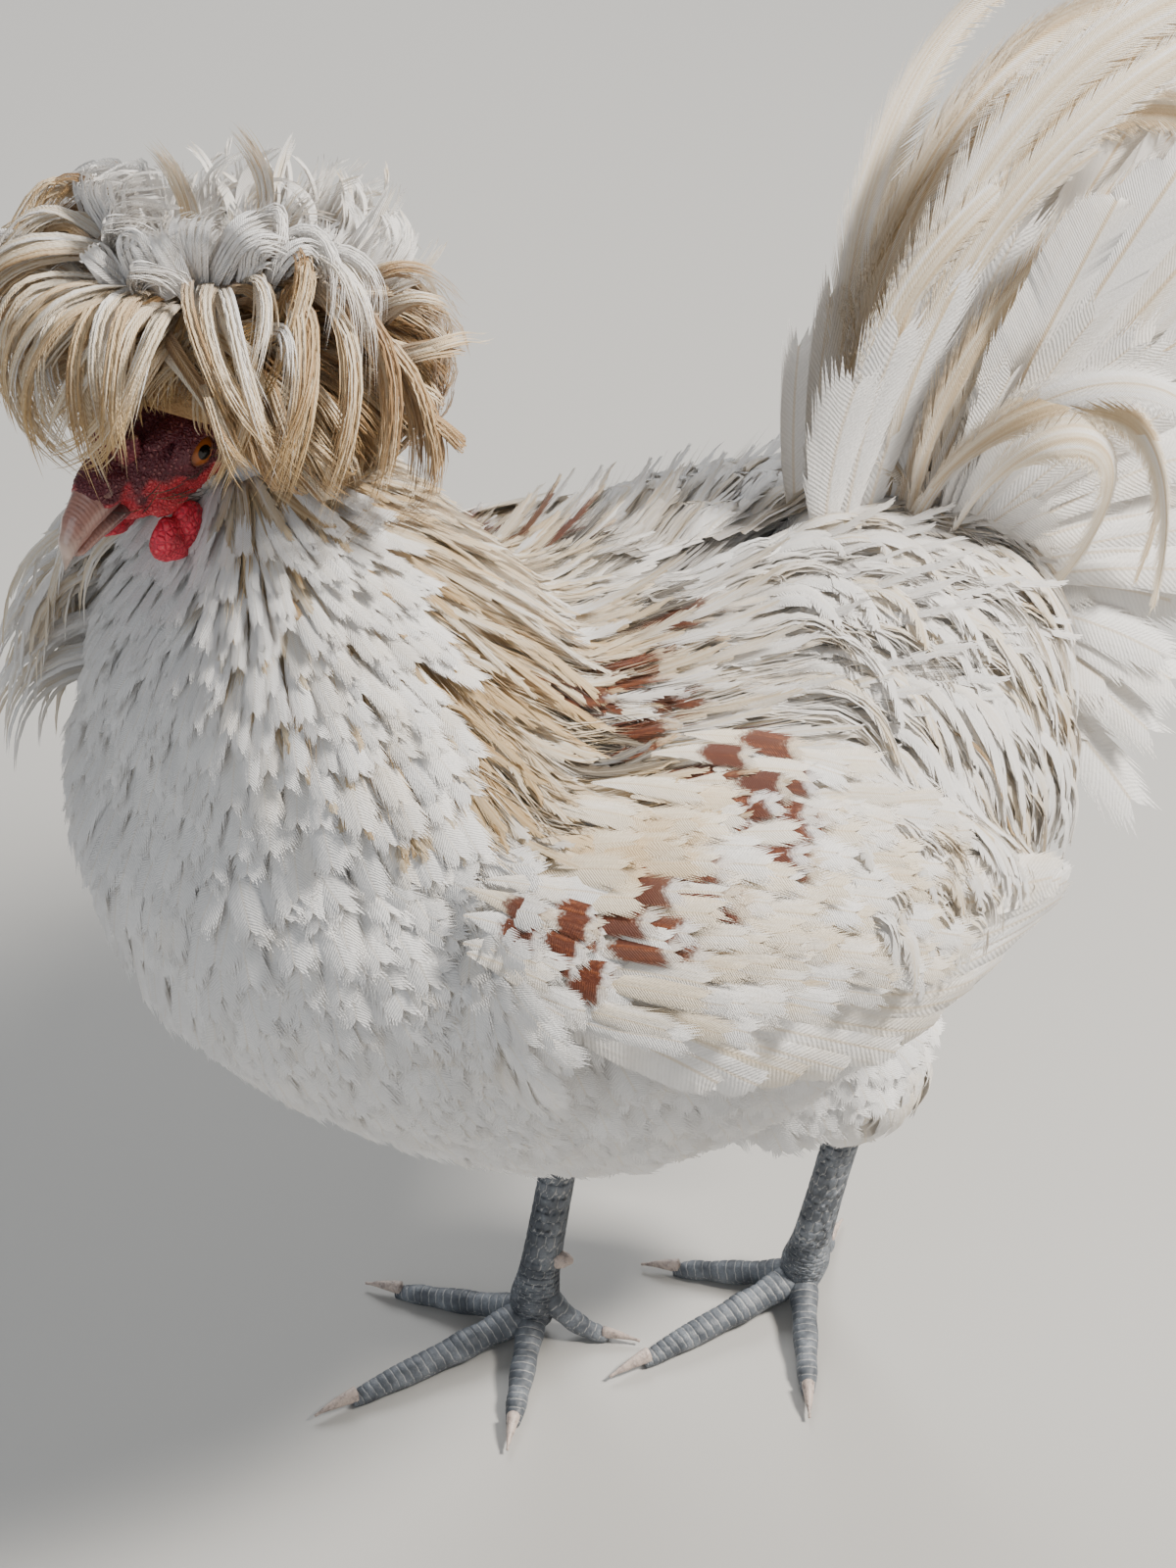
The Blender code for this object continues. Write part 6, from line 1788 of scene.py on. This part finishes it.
made = Finish("eye_ball", 0.07, Specular_IOR_Level=0.3)
gaze = made.attribute("gaze")
spokes = made.noise(made.place(), 1800.0, 3.0, 0.7)
colour = made.over((0.34, 0.095, 0.018), (0.1, 0.024, 0.008), gaze, 0.0024, 0.0041)
colour = made.over(colour, (0.52, 0.2, 0.045), spokes, 0.52, 0.72, 0.45)
colour = made.over((0.004, 0.003, 0.003), colour, gaze, PUPIL - 0.0001, PUPIL + 0.00015)
colour = made.over(colour, (0.03, 0.008, 0.006), gaze, IRIS - 0.0004, IRIS)
eye_finish = made.dress(colour)
for side, name in ((-1, "left"), (1, "right")):
    centre = mirrored(EYE_PLACE, side)
    ball = globe(f"ball_{name}", centre, xyz(1, 1, 1) * EYE_RADIUS, 64, 48)
    outward = xyz(-0.1, side, 0.06).normalized()
    offs = [(vert.co - centre) for vert in ball.data.vertices]
    hold(ball, "gaze", [(off - outward * max(0.0, off.dot(outward))).length for off in offs])
    finished(ball, eye_finish, "eye", f"eye_{name}")


# Bill: a short stout horn sheath, pinkish grey and darker at the root, with growth lines, a hooked upper
# tip, and wide slit nostrils under a raised rim.
UPPER_BILL = (
    (-0.016, 0.0012, 0.006, 0.0068, 0.0038),
    (-0.0225, 0.0014, 0.0059, 0.0068, 0.005),
    (-0.028, 0.0002, 0.0047, 0.005, 0.0048),
    (-0.0335, -0.002, 0.0035, 0.004, 0.0042),
    (-0.0375, -0.0052, 0.002, 0.0032, 0.003),
)
UPPER_BILL_ROOT = xyz(-0.015, 0.0, 0.0015)
UPPER_BILL_TIP = xyz(-0.0396, 0.0, -0.0102)
LOWER_BILL = (
    (-0.016, -0.0054, 0.005, 0.003, 0.0032),
    (-0.0235, -0.0056, 0.0044, 0.0028, 0.0028),
    (-0.03, -0.0066, 0.0032, 0.0022, 0.0022),
    (-0.034, -0.008, 0.002, 0.0012, 0.0015),
)
LOWER_BILL_ROOT = xyz(-0.015, 0.0, -0.0065)
LOWER_BILL_TIP = xyz(-0.0354, 0.0, -0.0088)

BILL_ROOT_X = -0.016
BILL_LENGTH = 0.0236

made = Finish("bill_horn_finish", 0.3, Coat_Weight=0.8, Coat_Roughness=0.12)
place = made.place()
reach = made.attribute("reach")
streaks = made.noise(place, 500.0, 3.0, 0.6)
growth = made.maths("SINE", (reach + streaks * 0.03) * 150.0)
colour = made.over((0.11, 0.04, 0.036), (0.4, 0.195, 0.15), reach + streaks * 0.25, 0.32, 0.74)
colour = made.over(colour, (0.62, 0.5, 0.42), reach, 0.75, 1.0, 0.8)
colour = made.over(colour, (0.1, 0.05, 0.05), streaks, 0.55, 0.75, 0.45)
horn_finish = made.dress(colour, 0.26 + streaks * 0.22, growth * 0.3 + streaks, 0.00012)
BILLS = (
    ("upper", UPPER_BILL, UPPER_BILL_ROOT, UPPER_BILL_TIP),
    ("lower", LOWER_BILL, LOWER_BILL_ROOT, LOWER_BILL_TIP),
)
for name, table, root, tip in BILLS:
    bill = head_loft(f"sheath_{name}", smooth_rows(table, 3), root, tip, 48)
    roughen(bill, lambda point: uneven(point, 260) * 0.00016)
    bill.data.shade_smooth()
    bill.data.set_sharp_from_angle(angle=radians(50))
    hold(bill, "reach", [(BILL_ROOT_X - vert.co.x) / BILL_LENGTH for vert in bill.data.vertices])
    finished(bill, horn_finish, "bill_horn", f"bill_{name}")


# Comb and wattles: two small fleshy horns in a V at the bill's root, dark red with pale worn tips, and a
# heart-shaped crimson wattle under each corner of the mouth, all as rough as coral.
COMB_PLACE = xyz(-0.015, 0.0, 0.0085)
COMB_LENGTH = 0.0105
COMB_HEIGHT = 0.0075
COMB_SPREAD = radians(36)
COMB_HORN = (
    (0.0, 0.003, 0.0034),
    (0.25, 0.0028, 0.0032),
    (0.45, 0.0027, 0.003),
    (0.65, 0.0021, 0.0026),
    (0.8, 0.0016, 0.0019),
    (1.0, 0.0007, 0.0007),
)
horns = []
for side in (-1, 1):
    lean = xyz(0.25, sin(COMB_SPREAD) * side, cos(COMB_SPREAD)).normalized()
    root = COMB_PLACE + xyz(0, 0.0016 * side, -0.003)
    spine = [root + lean * COMB_LENGTH * share for share, _, _ in COMB_HORN]
    horns.append(tube("horn", spine, [row[1:] for row in COMB_HORN], 24, xyz(1, 0, 0)))
comb = melted("flesh_comb", horns, 0.00035, 3)
roughen(comb, lambda point: pimples(point, 0.0013) * 0.00035 - 0.0002 + noise.noise(point * 500) * 0.0003)
crease_mask(comb, lambda point: 0.55 + 0.5 * noise.noise(point * 400))
hold(comb, "tip", [(vert.co.z - COMB_PLACE.z) / COMB_HEIGHT for vert in comb.data.vertices])
comb_finish = bare_skin("comb_skin", (0.42, 0.05, 0.06), (0.16, 0.016, 0.03), 800.0, True)
finished(comb, comb_finish, "red_skin", "comb")

WATTLE_PLACE = xyz(-0.0118, 0.01, -0.0165)
WATTLE_SIZE = xyz(0.009, 0.0034, 0.0072)
wattle_finish = bare_skin("wattle_skin", (0.84, 0.032, 0.075), (0.56, 0.016, 0.04), 620.0)
for side, name in ((-1, "left"), (1, "right")):
    wattle = globe(f"flesh_wattle_{name}", xyz(0, 0, 0), WATTLE_SIZE, 96, 64)
    for vert in wattle.data.vertices:
        crease = math.exp(-((vert.co.x / 0.0019) ** 2))
        upper = max(0.0, vert.co.z / WATTLE_SIZE.z)
        lower = max(0.0, -vert.co.z / WATTLE_SIZE.z)
        vert.co.z -= 0.0022 * crease * upper
        vert.co.x *= 1 - 0.3 * lower**1.5
        vert.co.y *= 1 - 0.45 * crease * (1 - 0.7 * lower)
    roughen(wattle, lambda point: pimples(point, 0.0016) * 0.0002 + uneven(point, 200) * 0.0004)
    crease_mask(wattle, lambda point: 0.25 + 0.5 * noise.noise(point * 350))
    wattle.data.transform(Matrix.Translation(mirrored(WATTLE_PLACE, side)))
    finished(wattle, wattle_finish, "red_skin", f"wattle_{name}")


# Face feathers: tiny white ones behind the eye, on the cheek and under the chin, and a few fine dark
# bristles below the eye and over the nostrils.
FACE_PLACE = xyz(0.002, 0, 0)
FACE_SIZE = xyz(0.0245, 0.015, 0.017)
FACE_COUNT = 1500
BRISTLE_COUNT = 34
BRISTLE_WIDTH = 0.00055
face_tree = tree_of(globe("guide", FACE_PLACE, FACE_SIZE, 48, 24))
picker = random.Random(41)
chance = picker.uniform
FACE_PATTERNS = [Pattern(9, LANCE, 0.2, 0.5, 0.5, seed, 0.2, 0.06, (2, 4)) for seed in range(45, 49)]
face_coat = Coat("feathers_face", FACE_PATTERNS)


def in_head(lie):
    """The same feather moved from the head's own axes to the bird's."""
    return [HEAD @ spot for spot in lie[0]], [HEAD.to_3x3() @ facing for facing in lie[1]]


for index in range(FACE_COUNT):
    turn = golden_turn(index)
    height = 1 - 2 * (index + 0.5) / FACE_COUNT
    ring = math.sqrt(1 - height**2)
    way = xyz(ring * cos(turn), ring * sin(turn), height)
    start = FACE_PLACE + Vector([a * b for a, b in zip(way, FACE_SIZE)])
    behind = start.x > 0.0064 and start.z < 0.014
    below = start.z < -0.0105 + 0.005 * smooth_step(start.x, -0.006, 0.003) and start.x > -0.012
    if behind or below:
        flow = xyz(0.8, 0, -1.0) if behind else xyz(0.35, start.y * 30, -1.0)
        reach = chance(0.007, 0.013)
        lie = in_head(laid(face_tree, start, flow, reach, 4, 0.002, chance(0.001, 0.0035), chance))
        marks = (chance(0.0, 0.3), chance(0.7, 1.0))
        face_coat.plant(*lie, chance(0.0024, 0.004), marks, (0.5 + 0.4 * way.x, 0.5 + 0.4 * way.y))
for index in range(BRISTLE_COUNT):
    side = -1 if index % 2 else 1
    start = xyz(chance(-0.021, 0.001), side * 0.012, chance(-0.0085, 0.003))
    flow = xyz(picker.choice((-1.0, 1.0, 1.0)), side * 0.1, chance(-0.7, 0.2))
    reach = chance(0.006, 0.012)
    lie = in_head(laid(face_tree, start, flow, reach, 4, 0.001, chance(0.001, 0.003), chance, 0.4))
    face_coat.plant(*lie, BRISTLE_WIDTH, (1.3, 0.6), (0.3 + 0.01 * index, 0.5 + 0.3 * side), 0.9)
settle(face_coat.piece(body_plume), "white_plumage")


# Shanks and toes: slate-grey scaled skin. Broad scutes lie across the tops of the toes, six-sided scales
# cover the shanks, and the soles and backs have small round grains.
ANKLE_HEIGHT = 0.0125
SHANK = (
    (-0.06, 0.0066, 0.0072),
    (0.04, 0.0078, 0.0085),
    (0.16, 0.006, 0.0072),
    (0.5, 0.0054, 0.0066),
    (0.82, 0.0062, 0.0074),
    (1.0, 0.0078, 0.0092),
)
# Toes: heading from straight ahead towards the midline, length, radius and height of the root, claw.
TOES = {
    "left": {
        "middle": (0, 0.06, 0.0056, 0.0085, 0.0135),
        "inner": (43, 0.04, 0.005, 0.008, 0.0115),
        "outer": (-57, 0.043, 0.005, 0.008, 0.0115),
        "hind": (148, 0.021, 0.0043, 0.0165, 0.011),
    },
    "right": {
        "middle": (-2, 0.064, 0.0056, 0.0085, 0.0135),
        "inner": (50, 0.04, 0.005, 0.008, 0.0115),
        "outer": (-50, 0.045, 0.005, 0.008, 0.0115),
        "hind": (136, 0.021, 0.0043, 0.0165, 0.011),
    },
}
SCALE_SIZE = 0.003
SCALE_RISE = 0.00042
FLAT_DEPTH = 0.0007

made = Finish("slate_scale_finish", 0.46, Specular_IOR_Level=0.5)
place = made.place()
raised = made.attribute("raised")
clouds = made.noise(place, 130.0, 3.0)
fine = made.noise(place, 1500.0, 3.0, 0.6)
colour = made.over((0.052, 0.06, 0.072), (0.15, 0.166, 0.188), clouds, 0.3, 0.7)
colour = made.over(colour, (0.26, 0.28, 0.3), fine + clouds, 1.0, 1.35, 0.5)
pale = made.smooth(clouds + fine * 0.4, 0.45, 0.85)
colour = made.over(made.mix((0.17, 0.175, 0.18), (0.44, 0.43, 0.41), pale), colour, raised, 0.1, 0.5)
scale_finish = made.dress(colour, 0.34 + fine * 0.3, fine + clouds, 0.00018)


def scatter_of(row, column):
    """A steady number from 0 to 1 for a scale."""
    return sin(row * 12.9898 + column * 78.233) * 43758.5453 % 1.0


def scale_height(across, along, number):
    """0 in the crease round a six-sided scale and 1 on it; number of scales fit round the leg."""
    row = math.floor(along)
    offs = []
    for near_row in (row - 1, row, row + 1):
        for near in (-1, 0, 1):
            shift = 0.5 * (near_row % 2)
            column = math.floor(across - shift) + near
            stray = scatter_of(near_row, column % number) - 0.5
            slip = scatter_of(near_row + 57, column % number) - 0.5
            middle = (column + 0.5 + shift + 0.28 * stray, near_row + 0.5 + 0.22 * slip)
            offs.append(math.hypot(across - middle[0], (along - middle[1]) * 0.9))
    offs.sort()
    return smooth_step(offs[1] - offs[0], 0.02, 0.24)


def scaled_limb(name, spine, radii, sides, rows, side_way, height_at):
    """A finely divided tube with scales raised on it, as height_at gives for a turn and a share."""
    fine_spine = smooth_rows([(*point, width, depth) for point, (width, depth) in zip(spine, radii)], 5)
    picks = [fine_spine[round(step * (len(fine_spine) - 1) / rows)] for step in range(rows + 1)]
    points = [Vector(row[:3]) for row in picks]
    rings, raised = [], []
    for index, row in enumerate(picks):
        along = (points[min(index + 1, rows)] - points[max(index - 1, 0)]).normalized()
        up = along.cross(side_way).normalized()
        across = up.cross(along).normalized()
        ring = []
        for step in range(sides):
            turn = 2 * pi * step / sides
            rise = height_at(turn, index / rows)
            raised.append(rise)
            out = across * cos(turn) * (row[3] + rise * SCALE_RISE - SCALE_RISE)
            ring.append(points[index] + out + up * sin(turn) * (row[4] + rise * SCALE_RISE - SCALE_RISE))
        rings.append(ring)
    lead = (points[0] - points[1]).normalized() * radii[0][0] * 0.25
    trail = (points[-1] - points[-2]).normalized() * radii[-1][0] * 0.25
    limb = loft(name, rings, points[0] + lead, points[-1] + trail)
    hold(limb, "raised", raised + [0.5, 0.5])
    limb.data.shade_smooth()
    limb.data.materials.append(scale_finish)
    return limb


def toe_way(heading, side):
    turn = radians(heading) * side
    return Vector((-cos(turn), -sin(turn), 0))


def flatten_sole(piece):
    """Presses whatever would pass through the floor flat against it."""
    for vert in piece.data.vertices:
        vert.co.z = max(vert.co.z, 0.0)


for leg, (side, foot, hock, knee) in LEGS.items():
    ankle = foot + xyz(0, 0, ANKLE_HEIGHT)
    length = (hock - ankle).length
    spine = [ankle + (hock - ankle) * share for share, _, _ in SHANK]
    around = 12

    def shank_scales(turn, share):
        return scale_height(turn / (2 * pi) * around, share * length * 1.06 / SCALE_SIZE, around)

    shank = scaled_limb(
        f"skin_shank_{leg}", spine, [row[1:] for row in SHANK], 84, 220, ACROSS, shank_scales
    )
    flatten_sole(shank)
    settle(shank, "slate_scales", f"shank_{leg}")
    for toe, (heading, long, radius, root_height, claw_length) in TOES[leg].items():
        way = toe_way(heading, side)
        root = foot + way * 0.0045
        spine, radii = [], []
        for share in (0.0, 0.11, 0.22, 0.34, 0.45, 0.58, 0.7, 0.81, 0.92, 1.0):
            thick = radius * (1 - 0.34 * share - 0.2 * smooth_step(share, 0.8, 1.0))
            knuckle = 1 + 0.07 * sin(share * pi * (7 if toe == "middle" else 5))
            rest = thick - FLAT_DEPTH
            height = rest + (root_height - rest) * (1 - share) ** 2.2
            spine.append(root + way * long * share + xyz(0, 0, height))
            radii.append((thick * knuckle, thick * 0.96 * knuckle))

        def toe_scales(angle, share):
            top = smooth_step(sin(angle), -0.15, 0.25)
            place = share * long / 0.0026 + 0.25 * cos(angle) ** 2
            scute = smooth_step(0.5 - abs(place % 1.0 - 0.5), 0.03, 0.16)
            grain = scale_height(angle / (2 * pi) * 18, share * long / 0.0017, 18)
            return scute * top + grain * 0.7 * (1 - top)

        limb = scaled_limb(
            f"skin_toe_{leg}_{toe}", spine, radii, 48, int(long / 0.00042), UP.cross(way), toe_scales
        )
        flatten_sole(limb)
        settle(limb, "slate_scales", f"toe_{leg}_{toe}")


# Claws and spurs: worn pale horn, curved to a blunt point, with fine lines along it.
made = Finish("claw_horn_finish", 0.42)
place = made.place()
streaks = made.noise(place, 420.0, 3.0, 0.65)
specks = made.noise(place, 1600.0, 2.0)
colour = made.over((0.5, 0.4, 0.345), (0.22, 0.175, 0.16), streaks, 0.42, 0.72)
colour = made.over(colour, (0.7, 0.63, 0.58), specks, 0.5, 0.75, 0.5)
claw_finish = made.dress(colour, 0.32 + specks * 0.25, streaks + specks * 0.5, 0.00015)
# Spurs: place along and radius.
SPUR = (
    (0.003, 0.0034), (0.005, 0.0033), (0.0065, 0.0031), (0.008, 0.0027), (0.009, 0.0022), (0.0105, 0.0011),
)
for leg, (side, foot, hock, knee) in LEGS.items():
    for toe, (heading, long, radius, root_height, claw_length) in TOES[leg].items():
        way = toe_way(heading, side)
        thick = radius * 0.62
        start = foot + way * (0.0045 + long - 0.0015) + xyz(0, 0, thick + 0.0009)
        spine, radii = [], []
        for share in [step / 14 for step in range(15)]:
            size = max(thick * 0.86 * (1 - share) ** 0.75, 0.0006)
            spine.append(start + way * (claw_length + 0.0015) * share - UP * thick * 0.55 * share**1.8)
            radii.append((size * 0.82, size))
        claw = tube(f"horn_{leg}_{toe}", spine, radii, 24, UP.cross(way))
        roughen(claw, lambda point: uneven(point, 500) * 0.00012)
        flatten_sole(claw)
        claw.data.shade_smooth()
        claw.data.materials.append(claw_finish)
        settle(claw, "claw_horn", f"claw_{leg}_{toe}")
    ankle = foot + xyz(0, 0, ANKLE_HEIGHT)
    seat = ankle.lerp(hock, (0.03 - ANKLE_HEIGHT) / (hock.z - ANKLE_HEIGHT))
    way = xyz(0.72, -0.7 * side, 0.05).normalized()
    spur = tube(f"horn_spur_{leg}", [seat + way * r for r, _ in SPUR], [(w, w) for _, w in SPUR], 28, UP)
    roughen(spur, lambda point: uneven(point, 600) * 0.00022)
    spur.data.shade_smooth()
    spur.data.materials.append(claw_finish)
    settle(spur, "claw_horn", f"spur_{leg}")
